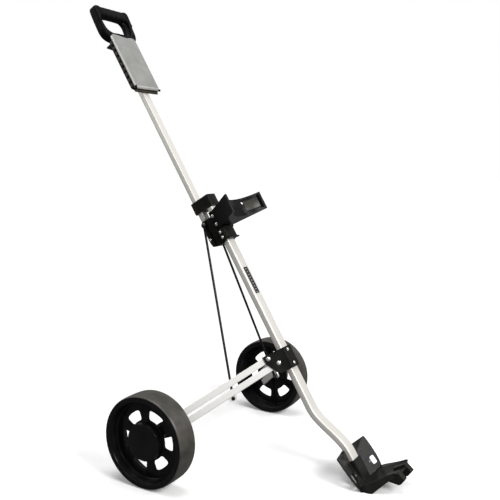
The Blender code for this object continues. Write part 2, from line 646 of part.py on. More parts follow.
def front_clamp(carriage):
    """Saddle over the slider's front, bolted through its sides."""
    low, high = CLAMP_SPAN
    inner = SLIDER_HALF + GAP
    points = [(-CLAMP_HALF, 0.0040), (-CLAMP_HALF, -0.0125), (-0.0225, -0.0172), (0.0225, -0.0172),
              (CLAMP_HALF, -0.0125), (CLAMP_HALF, 0.0040), (inner, 0.0040), (inner, -0.0111), (-inner, -0.0111),
              (-inner, 0.0040)]
    clamp = outline("slider_front_clamp", points, low, high, "XY", BLACK_PLASTIC, carriage)
    lip = [(-0.0150, low - 0.0012), (-0.0222, low - 0.0012), (-0.0222, low + 0.0016), (-0.0165, low + 0.0050),
           (-0.0150, low + 0.0050)]
    join(clamp, outline("clamp_lower_lip", lip, -0.0245, 0.0245, "YZ", None, carriage))
    lip = [(-0.0150, high + 0.0010), (-0.0198, high + 0.0010), (-0.0198, high - 0.0012), (-0.0165, high - 0.0034),
           (-0.0150, high - 0.0034)]
    join(clamp, outline("clamp_upper_lip", lip, -0.0245, 0.0245, "YZ", None, carriage))
    for height in CLAMP_BOLTS:
        cut(clamp, rod(f"clamp_hole_{height}", 0.0021, -0.04, 0.04, "X", (0, BOLT_Y, height), None, carriage, 10))
    return clamp


def bag_saddle(carriage):
    """Upper bag rest: two walls that flare from the slider's sides to a hollow front with a recessed panel."""
    low, high = CRADLE_SPAN
    wall = 0.0026
    plate = SLIDER_HALF + GAP
    centre = (0.0, SADDLE_FRONT - SADDLE_RADIUS)
    hollow = arc(centre, SADDLE_RADIUS, 140.0, 40.0, 17)
    tip_x, tip_y = SADDLE_TIP
    left = [(-plate - wall, 0.0040), (-plate - wall, -0.0088), (-tip_x, tip_y)]
    right = [(-x, y) for x, y in reversed(left)]
    saddle = outline("bag_saddle", left + hollow + right, low, high, "XY", BLACK_PLASTIC, carriage)
    back = SADDLE_RADIUS + 0.0070
    room = [(-plate, 0.0200), (-plate, -0.0096)] + arc(centre, back, 132.5, 47.5, 13)
    room += [(plate, -0.0096), (plate, 0.0200)]
    cut(saddle, outline("saddle_room", room, low + wall, high + 0.01, "XY", None, carriage))
    panel = arc(centre, SADDLE_RADIUS - 0.012, 136.5, 43.5, 15) + arc(centre, SADDLE_RADIUS + 0.0044, 43.5, 136.5, 15)
    cut(saddle, outline("saddle_panel", panel, low + 0.0060, high - 0.0050, "XY", None, carriage))
    cut(saddle, box("saddle_slider_room", (-plate, -0.0113, low - 0.01), (plate, 0.02, high + 0.01), None, carriage))
    for height in ARM_RIVETS:
        cut(saddle, rod(f"saddle_hole_{height}", 0.0021, -0.04, 0.04, "X", (0, BOLT_Y, height), None, carriage, 10))
    return saddle


# ---- foot ---------------------------------------------------------------------------------------------------
WING_ROOT = Vector((-0.0185, -0.0345, -0.2625))
WING_TURN = math.radians(15.5)     # of a wing forward from square to the spine
WING_LEAN = math.radians(10.0)     # of a wing forward at its foot
WING_WALL = 0.0028
WING_RIVET = Vector((-0.0330, -0.0610))


def wing_frame(side, word, name):
    """Frame of one wing: x inwards along its top edge, z up along its face, y to the rear."""
    return empty(f"{name}_{word}", side, WING_ROOT, (-WING_LEAN, 0, WING_TURN))


def lower_cradle(spine, sides):
    """Lower bag rest: a channel behind the tube's end, a socket under it, and a slotted wing on each side."""
    low, high = FOOT_SPAN
    y = TUBE_END[0]
    cradle = box("lower_cradle", (-0.0213, y + 0.0030, low), (0.0213, y + 0.0118, high), BLACK_PLASTIC, spine,
                 0.002, 1, edge_axis=2)
    join(cradle, box("foot_socket", (-0.0210, y - 0.0122, low - 0.01), (0.0210, y + 0.0100, -0.2920), None, spine,
                     0.003, 1, edge_axis=2))
    for side, word in zip(sides, ("left", "right")):
        frame = wing_frame(side, word, "wing_frame")
        shape = [(0.006, 0.0), (-0.0690, 0.0), (-0.0712, -0.030), (-0.0708, -0.056), (-0.0680, -0.074),
                 (-0.0610, -0.096), (-0.0560, -0.118), (0.006, -0.118)]
        wing = outline(f"wing_{word}", rounded(shape, 0.004, 2), 0.0, WING_WALL, "XZ", None, frame)
        join(cradle, wing)
        cut(cradle, box(f"strap_slot_{word}", (-0.0610, -0.02, -0.0725), (-0.0415, 0.02, -0.0515), None, frame,
                        0.003, 1, edge_axis=1))
        cut(cradle, rod(f"foot_rivet_hole_{word}", 0.0024, -0.01, 0.01, "Y", (WING_RIVET[0], 0, WING_RIVET[1]),
                        None, frame, 10))
    tube = TUBE / 2 + Vector((1, 1)) * GAP
    cut(cradle, box("foot_tube_pocket", (-tube[0], y - tube[1], TUBE_END[1] - GAP),
                    (tube[0], y + tube[1], high - 0.015), None, spine))
    cut(cradle, swept("foot_tube_clearance", tube_path(), tube * 2, 0.0045, None, spine))
    cut(cradle, box("foot_front_opening", (-0.0180, y - 0.03, -0.2919), (0.0180, y, high + 0.01), None, spine))
    cut(cradle, box("floor_under_cradle", (-0.2, -0.7, -0.2), (0.2, 0.1, 0.0), None, None))
    return cradle


def toe_plate(spine, sides):
    """Dished shelf that the bag's base stands on, with flanges up the wings, side skirts and two toes."""
    shelf = outline("toe_plate", [(-0.080, -0.3440), (-0.046, -0.3470), (-0.020, -0.3560), (0.020, -0.3560),
                    (0.046, -0.3470), (0.080, -0.3440), (0.080, -0.3475), (0.046, -0.3505), (0.021, -0.3595),
                    (-0.021, -0.3595), (-0.046, -0.3505), (-0.080, -0.3475)], -0.1545, -0.0400, "XZ", BLACK_PLASTIC,
                    spine)
    heel = [(-0.0440, -0.3476), (-0.0600, -0.3476), (-0.0850, -0.3563), (-0.0850, -0.3592), (-0.0440, -0.3592)]
    join(shelf, outline("toe_heel_ramp", heel, -0.0385, 0.0385, "YZ", None, spine))
    frames = []
    for side, word, sign in zip(sides, ("left", "right"), (-1, 1)):
        skirt = [(sign * 0.0710, -0.050), (sign * 0.0710, -0.078), (sign * 0.0470, -0.140), (sign * 0.0460, -0.150),
                 (sign * 0.0425, -0.150), (sign * 0.0435, -0.138), (sign * 0.0675, -0.076), (sign * 0.0675, -0.050)]
        join(shelf, outline(f"toe_skirt_{word}", skirt, -0.378, -0.3462, "XY", None, spine))
        toe = [(-0.1210, -0.3500), (-0.1210, -0.3620), (-0.1430, -0.3790), (-0.1490, -0.3790), (-0.1625, -0.3735),
               (-0.1550, -0.3500)]
        x0, x1 = sorted((sign * 0.0175, sign * 0.0355))
        join(shelf, outline(f"toe_{word}", toe, x0, x1, "YZ", None, spine))
        hollow = [(-0.1240, -0.3610), (-0.1420, -0.3900), (-0.1460, -0.3950), (-0.1560, -0.3800), (-0.1500, -0.3610)]
        x0, x1 = sorted((sign * 0.0202, sign * 0.0328))
        cut(shelf, outline(f"toe_hollow_{word}", hollow, x0, x1, "YZ", None, spine))
        plan = outline(f"toe_plan_{word}", [(sign * 0.0710, -0.030), (sign * 0.0710, -0.078), (sign * 0.0470, -0.140),
                       (sign * 0.0460, -0.153), (sign * 0.0430, -0.180), (sign * 0.12, -0.180), (sign * 0.12, -0.030)],
                       -0.42, -0.32, "XY", None, spine)
        cut(shelf, plan)
        under = outline(f"skirt_trim_{word}", [(-0.030, -0.3760), (-0.070, -0.3740), (-0.1195, -0.3620),
                        (-0.1600, -0.3540), (-0.1600, -0.4000), (-0.030, -0.4000)], *sorted((sign * 0.0370,
                        sign * 0.090)), "YZ", None, spine)
        cut(shelf, under)
        frame = wing_frame(side, word, "flange_frame")
        frames.append(frame)
        flange = [(-0.0050, -0.0520), (-0.0385, -0.0520), (-0.0395, -0.0750), (-0.0560, -0.0810), (-0.0560, -0.1080),
                  (-0.0050, -0.1080)]
        join(shelf, outline(f"toe_flange_{word}", flange, -GAP - 0.0026, -GAP, "XZ", None, frame))
    for frame, word in zip(frames, ("left", "right")):
        cut(shelf, box(f"wing_room_{word}", (-0.120, -GAP, -0.150), (0.020, 0.060, 0.020), None, frame))
        cut(shelf, rod(f"toe_rivet_hole_{word}", 0.0024, -0.01, 0.01, "Y", (WING_RIVET[0], 0, WING_RIVET[1]), None,
                       frame, 10))
    y = TUBE_END[0]
    cut(shelf, box("toe_socket_room", (-0.0213, y - 0.0125, -0.40), (0.0213, 0.02, -0.28), None, spine))
    cut(shelf, box("floor_under_toe", (-0.2, -0.7, -0.2), (0.2, 0.1, 0.0002), None, None))
    return shelf


def foot_rivets(sides):
    for side, word in zip(sides, ("left", "right")):
        frame = wing_frame(side, word, "rivet_frame")
        rivet(f"foot_rivet_{word}", 0.0062, STEEL, frame, (WING_RIVET[0], -GAP - 0.0027, WING_RIVET[1]),
              (math.pi / 2, 0, 0), head=0.0036, rise=0.0015, shank=0.0020)


# ---- handle -------------------------------------------------------------------------------------------------
def handle_tube(carriage):
    low, high = HANDLE_TUBE_SPAN
    y = HANDLE_TUBE_Y
    half = HANDLE_TUBE / 2
    tube = box("handle_tube", (-half[0], y - half[1], low), (half[0], y + half[1], high), ALUMINIUM, carriage,
               0.0035, 2, edge_axis=2)
    wall = 0.0015
    cut(tube, box("handle_tube_bore", (-half[0] + wall, y - half[1] + wall, low - 0.01),
                  (half[0] - wall, y + half[1] - wall, high + 0.01), None, carriage, 0.002, 1, edge_axis=2))
    cut(tube, rod("handle_tube_bolt_hole", 0.0028, -0.04, 0.04, "X", (0, *HANDLE_BOLT), None, carriage, 10))
    return tube


def mirrored(half):
    """A closed outline from its right half, listed from the centre line's foot to its top."""
    return list(half) + [(-x, z) for x, z in reversed(half)]


HANDLE_TILT = math.radians(3.5)
HANDLE_AT = Vector((0.0, 0.0302, 1.020))
LIMB = (-0.0075, 0.0075)           # front and rear of the D's side limbs, in the handle's own frame
BAR = (-0.0130, 0.0090)            # front and rear of its cross bar and corners
GRIP_HALF = 0.0450
SOCKET_TOP = 0.985


def handle_frame(carriage):
    """D-shaped frame with thicker corners and a neck that takes the top of the handle tube."""
    tilted = empty("handle_plane", carriage, HANDLE_AT, (HANDLE_TILT, 0, 0))
    outer = mirrored([(0.0170, -0.030), (0.0200, -0.020), (0.0320, -0.018), (0.0460, -0.013), (0.0580, -0.004),
                      (0.0645, 0.009), (0.0665, 0.034), (0.0662, 0.060), (0.0650, 0.076), (0.0580, 0.083),
                      (0.0440, 0.0820)])
    inner = mirrored([(0.0180, 0.0050), (0.0340, 0.0030), (0.0450, 0.0120), (0.0515, 0.0280), (0.0530, 0.0500),
                      (0.0430, 0.0590), (0.0150, 0.0610)])
    frame = outline("handle_frame", rounded(outer, 0.006, 2), LIMB[0], LIMB[1], "XZ", BLACK_PLASTIC, tilted,
                    hole=rounded(inner, 0.006, 2))
    for sign, word in ((-1, "left"), (1, "right")):
        corner = [(0.0430, 0.0560), (0.0530, 0.0440), (0.0668, 0.0400), (0.0672, 0.0760), (0.0620, 0.0845),
                  (0.0530, 0.0855), (0.0430, 0.0820)]
        shape = [(sign * x, z) for x, z in corner]
        join(frame, outline(f"handle_corner_{word}", rounded(shape, 0.006, 2), BAR[0] + 0.0015, BAR[1] + 0.0006, "XZ",
                            None, tilted))
    y = HANDLE_TUBE_Y
    neck = box("handle_neck", (-0.0175, 0.0303, 0.930), (0.0175, y + 0.0112, 1.008), None, carriage, 0.004, 2,
               edge_axis=2)
    join(frame, neck)
    for sign, word in ((-1, "left"), (1, "right")):
        x0, x1 = sorted((sign * 0.0062, sign * 0.0092))
        join(frame, outline(f"lever_ear_{word}", rounded([(0.0460, 0.990), (0.0610, 0.9990), (0.0610, 1.0075),
                            (0.0460, 1.0075)], 0.003, 2), x0, x1, "YZ", None, carriage))
    grip = HANDLE_TUBE / 2 + Vector((1, 1)) * GAP
    cut(frame, box("handle_neck_socket", (-grip[0], y - grip[1], 0.90), (grip[0], y + grip[1], SOCKET_TOP + GAP),
                   None, carriage))
    cut(frame, box("grip_seat", (-GRIP_HALF - GAP, -0.03, 0.0480), (GRIP_HALF + GAP, 0.0020, 0.10), None, tilted))
    cut(frame, box("handle_console_room", (-0.0512, 0.0, 0.90), (0.0512, 0.0300, CONSOLE_SPAN[1] + GAP), None,
                   carriage))
    cut(frame, rod("lever_ear_hole", 0.0016, -0.02, 0.02, "X", (0, LEVER_AT[1], LEVER_AT[2]), None, carriage, 8))
    return frame


def hand_grip(carriage):
    """Soft grip over the front of the D's cross bar, with finger grooves underneath."""
    tilted = empty("grip_plane", carriage, HANDLE_AT, (HANDLE_TILT, 0, 0))
    section = [(BAR[0] + 0.0010, 0.0530), (BAR[0] - 0.0004, 0.0620), (BAR[0] + 0.0010, 0.0775), (-0.0080, 0.0830),
               (0.0017, 0.0832), (0.0017, 0.0525)]
    grip = outline("hand_grip", rounded(section, 0.004, 2), -GRIP_HALF, GRIP_HALF, "YZ", RUBBER, tilted)
    for index in range(4):
        x = -0.0315 + index * 0.021
        cut(grip, rod(f"finger_groove_{index}", 0.0125, -0.05, 0.05, "Y", (x, 0, 0.0440), None, tilted, 20))
    return grip


def console_body(carriage):
    """Score console: a shallow tray in front of the handle tube."""
    low, high = CONSOLE_SPAN
    body = box("console_body", (-0.0505, 0.0172, low), (0.0505, 0.0297, high), BLACK_PLASTIC, carriage, 0.003, 1,
               edge_axis=1)
    cut(body, box("console_pocket", (-0.044, 0.010, low + 0.008), (0.044, 0.0235, high - 0.006), None, carriage))
    for index in range(5):
        height = low + 0.020 + index * 0.032
        cut(body, box(f"console_rib_gap_{index}", (-0.06, 0.0265, height), (-0.0490, 0.04, height + 0.012), None,
                      carriage))
        cut(body, box(f"console_rib_gap_r_{index}", (0.0490, 0.0265, height), (0.06, 0.04, height + 0.012), None,
                      carriage))
    cut(body, box("console_hinge_gap", (-0.0470, 0.0, low - 0.01), (0.0470, 0.0235, low + 0.0085), None, carriage))
    cut(body, rod("console_pin_hole", 0.0015, -0.08, 0.08, "X", HINGE, None, carriage, 8))
    return body


HINGE = Vector((0.0, 0.0192, CONSOLE_SPAN[0] + 0.0036))


def score_plate(plate_frame):
    """Silver cover of the console, curled into a hinge barrel along its bottom edge."""
    length = CONSOLE_SPAN[1] - CONSOLE_SPAN[0] - 0.005
    front, rear = -0.0040, -0.0024
    points = [(-0.0510, 0.0045), (0.0510, 0.0045), (0.0500, length - 0.030), (0.0490, length - 0.006),
              (0.0330, length - 0.001), (0.0120, length - 0.0055), (-0.0280, length - 0.0005),
              (-0.0480, length - 0.002), (-0.0495, length - 0.010)]
    plate = outline("score_plate", rounded(points, 0.002, 2), front, rear, "XZ", GREY_PLASTIC, plate_frame)
    barrel = rod("score_plate_barrel", 0.0030, -0.0460, 0.0460, "X", (0, 0, 0), None, plate_frame, 14)
    web = box("score_plate_web", (-0.0460, front, -0.0010), (0.0460, rear + 0.0006, 0.0046), None, plate_frame)
    join(plate, web, barrel)
    return cut(plate, rod("score_plate_bore", 0.0014, -0.08, 0.08, "X", (0, 0, 0), None, plate_frame, 8))


def hinge_pin(carriage):
    """Pin of the console cover with a black knob at each end."""
    knob = 0.0032
    profile = [(0.0, 0.0560), (knob, 0.0560), (knob, 0.0510), (0.0011, 0.0510), (0.0011, -0.0510), (knob, -0.0510),
               (knob, -0.0560), (0.0, -0.0560)]
    return turned("cover_hinge_pin", profile, BLACK_STEEL, carriage, HINGE, (0, -math.pi / 2, 0), steps=12)


LEVER_AT = Vector((0.0, 0.0565, 1.0030))


def release_lever(lever_frame):
    """Small finger lever behind the neck of the handle."""
    points = [(-0.0040, -0.0060), (-0.0040, 0.0080), (0.0040, 0.0170), (0.0215, 0.0165), (0.0222, 0.0140),
              (0.0060, -0.0050)]
    lever = outline("release_lever", rounded(points, 0.0015, 1), -0.0057, 0.0057, "YZ", BLACK_PLASTIC, lever_frame)
    return cut(lever, rod("release_lever_hole", 0.0016, -0.02, 0.02, "X", (0, 0, 0), None, lever_frame, 8))


def lever_pin(carriage):
    profile = [(0.0, 0.0118), (0.0026, 0.0112), (0.0026, 0.0095), (0.0013, 0.0095), (0.0013, -0.0095),
               (0.0026, -0.0095), (0.0026, -0.0112), (0.0, -0.0118)]
    return turned("lever_pin", profile, STEEL, carriage, LEVER_AT, (0, -math.pi / 2, 0), steps=12)


# ---- assembly -----------------------------------------------------------------------------------------------
def build_leg(side, word):
    """One folding leg and its joint frames. The spine's mirrored side frame makes the right one."""
    leg = empty(f"leg_{word}", side, LEG_ORIGIN, (0, 0, math.pi - LEG_ANGLE))
    for label, pivot in (("upper", PIVOT_UPPER), ("lower", PIVOT_LOWER)):
        frame = empty(f"{label}_bar_joint_{word}", leg, (pivot[0], 0, pivot[1]), (0, LEG_DROP, 0))
        if label == "lower":
            strut_bolt(f"push_rod_bolt_{word}", frame)
        leg_bar(f"{label}_bar_{word}", frame, label == "lower")
        leg_pin(f"{label}_leg_pin_{word}", leg, pivot, 0.0162, 0.0001)
    return leg


def build_carrier(leg, word):
    """The plate that joins the two bars' outer ends, turning on the upper bar's pin, with its axle and wheel."""
    upper = carrier_pivots()[0]
    joint = empty(f"carrier_joint_{word}", leg, (upper[0], 0, upper[1]))
    frame = empty(f"carrier_frame_{word}", joint, (-upper[0], 0, -upper[1]))
    mirror = 1 if word == "left" else -1
    axle_frame = empty(f"axle_{word}", None, (-mirror * TRACK / 2, AXLE_Y, WHEEL_RADIUS), (0, 0, 0), (mirror, 1, 1))
    bpy.context.view_layer.update()
    axle_frame.parent = joint
    axle_frame.matrix_parent_inverse = joint.matrix_world.inverted()
    axle_carrier(f"axle_carrier_{word}", frame, axle_frame)
    for label, at in zip(("upper", "lower"), carrier_pivots()):
        leg_pin(f"{label}_carrier_pin_{word}", frame, at, 0.0131, 0.0001)
    axle(f"axle_rod_{word}", axle_frame)
    wheel = empty(f"wheel_joint_{word}", axle_frame)
    tyre(f"tyre_{word}", wheel)
    rim(f"wheel_{word}", wheel)
    hub_cap(f"hub_cap_{word}", wheel)


def build_push_rod(slide_leg, word):
    reach = STRUT_FOOT - STRUT_TOP
    tilt = math.atan2(reach[0], -reach[1])
    joint = empty(f"push_rod_joint_{word}", slide_leg, (STRUT_TOP[0], STRUT_Y, STRUT_TOP[1]), (0, -tilt, 0))
    strut(f"push_rod_{word}", joint, reach.length)
    rivet(f"push_rod_pin_{word}", 0.0125, STEEL, slide_leg, (STRUT_TOP[0], STRUT_Y + 0.0031, STRUT_TOP[1]),
          (-math.pi / 2, 0, 0), head=0.0036, rise=0.0014, shank=0.0026)


def build_spine(spine, sides, legs):
    main_tube(spine)
    top_collar(spine)
    guide_bush(spine)
    hub_front_shell(spine, legs)
    hub_rear_bracket(spine, legs)
    hub_screws(spine)
    lower_cradle(spine, sides)
    toe_plate(spine, sides)
    foot_rivets(sides)


def build_carriage(carriage, legs):
    """Everything that slides along the spine."""
    slider_body(carriage, list(zip(legs, ("left", "right"))))
    front_clamp(carriage)
    bag_saddle(carriage)
    through_bolt("handle_tube_bolt", carriage, *HANDLE_BOLT, SLIDER_HALF + 0.0001)
    handle_tube(carriage)
    handle_frame(carriage)
    hand_grip(carriage)
    console_body(carriage)
    hinge_pin(carriage)
    score_plate(empty("score_plate_joint", carriage, HINGE))
    lever_pin(carriage)
    release_lever(empty("release_lever_joint", carriage, LEVER_AT))


def main():
    hub = Vector((0.0, AXLE_Y + HUB_BEHIND_AXLE, HUB_HEIGHT))
    spine = empty("spine", None, hub, (-LEAN, 0, 0))
    carriage = empty("slider_joint", spine)
    sides = [empty("left_side", spine), empty("right_side", spine, scale=(-1, 1, 1))]
    slides = [empty("left_slide", carriage), empty("right_slide", carriage, scale=(-1, 1, 1))]
    words = ("left", "right")
    legs = [build_leg(side, word) for side, word in zip(sides, words)]
    build_spine(spine, sides, legs)
    build_carriage(carriage, legs)
    for slide, leg, word in zip(slides, legs, words):
        build_carrier(leg, word)
        slide_leg = empty(f"slide_leg_{word}", slide, LEG_ORIGIN, (0, 0, math.pi - LEG_ANGLE))
        build_push_rod(slide_leg, word)
        side_screws(slide, word)


main()
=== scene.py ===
"""Looks for the two-wheel folding golf pull cart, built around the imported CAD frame.

Metres, +Z up, in the CAD's own frame. Pieces on the spine are drawn in the spine's frame (x across, y to
the rear, z up along the tube), pieces on a leg in the leg's frame and pieces of a wheel in the wheel's
frame. Every mesh is stored in world coordinates.
"""

import json
import math

import bmesh
import bpy
from mathutils import Matrix, Vector


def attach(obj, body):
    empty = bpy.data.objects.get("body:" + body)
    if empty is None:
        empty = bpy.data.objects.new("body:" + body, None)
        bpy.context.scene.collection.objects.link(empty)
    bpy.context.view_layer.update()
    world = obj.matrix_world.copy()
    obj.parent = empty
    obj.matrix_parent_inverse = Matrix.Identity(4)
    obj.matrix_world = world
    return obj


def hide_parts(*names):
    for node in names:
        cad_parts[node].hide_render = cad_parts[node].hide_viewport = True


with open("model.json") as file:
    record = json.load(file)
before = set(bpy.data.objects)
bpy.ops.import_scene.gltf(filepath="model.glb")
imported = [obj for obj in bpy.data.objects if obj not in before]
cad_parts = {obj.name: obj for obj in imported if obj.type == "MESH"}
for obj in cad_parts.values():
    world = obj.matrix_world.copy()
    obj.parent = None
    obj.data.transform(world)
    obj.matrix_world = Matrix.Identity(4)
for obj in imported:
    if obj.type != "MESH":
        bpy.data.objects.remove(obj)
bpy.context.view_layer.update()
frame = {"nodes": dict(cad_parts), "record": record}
NODES = frame["nodes"]
SLOT_OF = {entry["node"]: entry["material_slot"] for entry in frame["record"]["subparts"]}
BODIES = frame["record"]["behaviour"]["bodies"]
BODY_OF = {node: body for body, members in BODIES.items() for node in members}

# ---- frames of the cart ------------------------------------------------------------------------------
AXLE_Y = 0.0786
TRACK = 0.606
WHEEL_RADIUS = 0.115
HUB_AHEAD = 0.2144                  # from the axles forward to the hub's origin on the spine
HUB_HEIGHT = 0.27165
LEAN = math.radians(31.35)          # of the spine from upright, to the rear
LEG_ORIGIN = (-0.020, -0.010, 0.0)
LEG_ANGLE = math.radians(50)
DROP = math.radians(6)              # of the legs' bars below level, in the leg's frame
UP_TUBE = (-LEAN, 0, 0)             # turns a texture's Z to run along the spine

HUB = Vector((0.0, AXLE_Y - HUB_AHEAD, HUB_HEIGHT))
SPINE = Matrix.Translation(HUB) @ Matrix.Rotation(-LEAN, 4, "X")
MIRROR = Matrix.Scale(-1, 4, (1, 0, 0))
LEG = Matrix.Translation(LEG_ORIGIN) @ Matrix.Rotation(math.pi - LEG_ANGLE, 4, "Z")
SIDES = {"left": SPINE, "right": SPINE @ MIRROR}
LEGS = {word: matrix @ LEG for word, matrix in SIDES.items()}
TO_OUTBOARD = Matrix.Rotation(-math.pi / 2, 4, "Y")     # turns a wheel piece's +Z outboard
WHEELS = {"left": Matrix.Translation((-TRACK / 2, AXLE_Y, WHEEL_RADIUS)) @ TO_OUTBOARD,
          "right": Matrix.Translation((TRACK / 2, AXLE_Y, WHEEL_RADIUS)) @ MIRROR @ TO_OUTBOARD}


# ---- materials ---------------------------------------------------------------------------------------
class Nodes:
    """Short names for building one material's node tree."""

    def __init__(self, name):
        self.material = bpy.data.materials.new(name)
        self.material.use_nodes = True
        self.tree = self.material.node_tree
        self.shader = self.tree.nodes["Principled BSDF"]
        self.place = self.add("ShaderNodeTexCoord").outputs["Object"]

    def add(self, kind, **settings):
        node = self.tree.nodes.new(kind)
        for key, value in settings.items():
            setattr(node, key, value)
        return node

    def link(self, output, socket):
        self.tree.links.new(output, socket)

    def mapped(self, scale, rotation=(0, 0, 0)):
        """The place in axes turned by rotation, with each one stretched by scale."""
        node = self.add("ShaderNodeMapping", vector_type="TEXTURE")
        node.inputs["Scale"].default_value = scale
        node.inputs["Rotation"].default_value = rotation
        self.link(self.place, node.inputs["Vector"])
        return node.outputs["Vector"]

    def noise(self, scale, detail=3.0, rough=0.55, vector=None, distortion=0.0):
        """Cloudy noise from 0 to 1, with scale spots to a metre."""
        node = self.add("ShaderNodeTexNoise")
        node.inputs["Scale"].default_value = scale
        node.inputs["Detail"].default_value = detail
        node.inputs["Roughness"].default_value = rough
        node.inputs["Distortion"].default_value = distortion
        self.link(vector or self.place, node.inputs["Vector"])
        return node.outputs["Fac"]

    def ranged(self, value, low, high, to_low=0.0, to_high=1.0):
        """The value with low to high stretched to another range, and cut off at its ends."""
        node = self.add("ShaderNodeMapRange")
        limits = {"From Min": low, "From Max": high, "To Min": to_low, "To Max": to_high}
        for socket, number in limits.items():
            node.inputs[socket].default_value = number
        self.link(value, node.inputs["Value"])
        return node.outputs["Result"]

    def maths(self, operation, first, second):
        node = self.add("ShaderNodeMath", operation=operation)
        for socket, value in zip(node.inputs, (first, second)):
            if isinstance(value, (int, float)):
                socket.default_value = value
            else:
                self.link(value, socket)
        return node.outputs["Value"]

    def mixed(self, factor, first, second):
        """The first colour at factor 0 and the second at 1."""
        node = self.add("ShaderNodeMix", data_type="RGBA")
        for socket, value in ((node.inputs[0], factor), (node.inputs[6], first), (node.inputs[7], second)):
            if isinstance(value, (int, float)):
                socket.default_value = value
            elif isinstance(value, tuple):
                socket.default_value = (*value, 1.0)
            else:
                self.link(value, socket)
        return node.outputs[2]

    def edges(self, radius):
        """The rounded normal from Cycles' bevel, and how near an edge is."""
        bevel = self.add("ShaderNodeBevel", samples=6)
        bevel.inputs["Radius"].default_value = radius
        flat = self.add("ShaderNodeNewGeometry").outputs["Normal"]
        dot = self.add("ShaderNodeVectorMath", operation="DOT_PRODUCT")
        self.link(bevel.outputs["Normal"], dot.inputs[0])
        self.link(flat, dot.inputs[1])
        return bevel.outputs["Normal"], self.ranged(dot.outputs["Value"], 0.99, 0.80)

    def bump(self, height, strength, distance, normal=None):
        node = self.add("ShaderNodeBump")
        node.inputs["Strength"].default_value = strength
        node.inputs["Distance"].default_value = distance
        self.link(height, node.inputs["Height"])
        if normal:
            self.link(normal, node.inputs["Normal"])
        return node.outputs["Normal"]

    def wear(self, colour, edge, amount, tint):
        """The colour with patches of the tint along the edges."""
        patchy = self.ranged(self.noise(140, 5, 0.6), 0.42, 0.62)
        worn = self.maths("MULTIPLY", edge, patchy)
        return self.mixed(self.maths("MULTIPLY", worn, amount), colour, tint)

    def finish(self, colour, roughness, normal, metallic=0.0, **constants):
        """The material, with its colour, gloss and normal plugged in and its other inputs set."""
        self.link(colour, self.shader.inputs["Base Color"])
        self.link(roughness, self.shader.inputs["Roughness"])
        self.link(normal, self.shader.inputs["Normal"])
        self.shader.inputs["Metallic"].default_value = metallic
        for key, value in constants.items():
            self.shader.inputs[key.replace("_", " ")].default_value = value
        return self.material


def moulded(name, dark, light, roughness, grain=1100, depth=0.00005, edge=0.0009,
            tint=(0.16, 0.16, 0.155), **constants):
    """Moulded plastic: spark-eroded grain, slow flow marks in tone and gloss, scuffed edges."""
    n = Nodes(name)
    flow = n.ranged(n.noise(22, 4, 0.6, distortion=0.4), 0.3, 0.7)
    fine = n.noise(grain, 2, 0.5)
    normal, near = n.edges(edge)
    colour = n.wear(n.mixed(flow, dark, light), near, 0.5, tint)
    spread = n.ranged(flow, 0.0, 1.0, roughness - 0.05, roughness + 0.07)
    gloss = n.maths("ADD", spread, n.ranged(n.noise(160, 5, 0.65), 0.35, 0.7, -0.03, 0.05))
    return n.finish(colour, gloss, n.bump(fine, 0.5, depth, normal), **constants)


def metal(name, dark, light, roughness, along=(0, 0, 0), lines=420, depth=0.00002, edge=0.0006,
          stretch=0.02, **constants):
    """Drawn or brushed metal: fine lines along one direction, faint handling marks and bright edges."""
    n = Nodes(name)
    stretched = n.mapped((1.0, 1.0, 1.0 / stretch), along)
    line = n.noise(lines, 3, 0.6, stretched)
    marks = n.ranged(n.noise(34, 5, 0.62), 0.35, 0.68)
    normal, near = n.edges(edge)
    tone = n.mixed(n.maths("MULTIPLY", line, 0.75), light, dark)
    colour = n.wear(n.mixed(n.maths("MULTIPLY", marks, 0.35), tone, dark), near, 0.6, light)
    gloss = n.maths("ADD", n.ranged(line, 0.3, 0.7, roughness - 0.05, roughness + 0.06),
                    n.ranged(marks, 0.0, 1.0, -0.03, 0.05))
    return n.finish(colour, gloss, n.bump(line, 0.35, depth, normal), **constants)


def tyre_rubber():
    """Hard black tyre band with a dusty brown-grey sheen."""
    n = Nodes("tyre_rubber")
    dust = n.ranged(n.noise(26, 5, 0.65), 0.35, 0.7)
    speck = n.noise(900, 3, 0.6)
    normal, near = n.edges(0.0012)
    colour = n.mixed(dust, (0.022, 0.0205, 0.0165), (0.062, 0.056, 0.045))
    colour = n.wear(colour, near, 0.12, (0.09, 0.086, 0.078))
    gloss = n.ranged(dust, 0.0, 1.0, 0.34, 0.50)
    return n.finish(colour, gloss, n.bump(speck, 0.6, 0.00012, normal), Specular_IOR_Level=0.65)


def label_print():
    """Black label with a row of plain pale dashes and no lettering."""
    n = Nodes("label_print")
    turned = n.mapped((1, 1, 1), UP_TUBE)
    split = n.add("ShaderNodeSeparateXYZ")
    n.link(turned, split.inputs[0])
    dashes_per_metre, gap, half_row = 118.0, 0.62, 0.0034
    phase = n.maths("FRACT", n.maths("MULTIPLY", split.outputs["Z"], dashes_per_metre), 0.0)
    dash = n.maths("GREATER_THAN", phase, gap)
    row = n.maths("LESS_THAN", n.maths("ABSOLUTE", split.outputs["X"], 0.0), half_row)
    dirt = n.ranged(n.noise(500, 4), 0.3, 0.7)
    mask = n.maths("MULTIPLY", n.maths("MULTIPLY", dash, row), n.ranged(dirt, 0, 1, 0.55, 0.9))
    black = n.mixed(dirt, (0.006, 0.006, 0.006), (0.012, 0.012, 0.012))
    colour = n.mixed(mask, black, (0.30, 0.30, 0.29))
    return n.finish(colour, n.ranged(dirt, 0, 1, 0.3, 0.42), n.bump(n.noise(1400), 0.2, 0.00003))


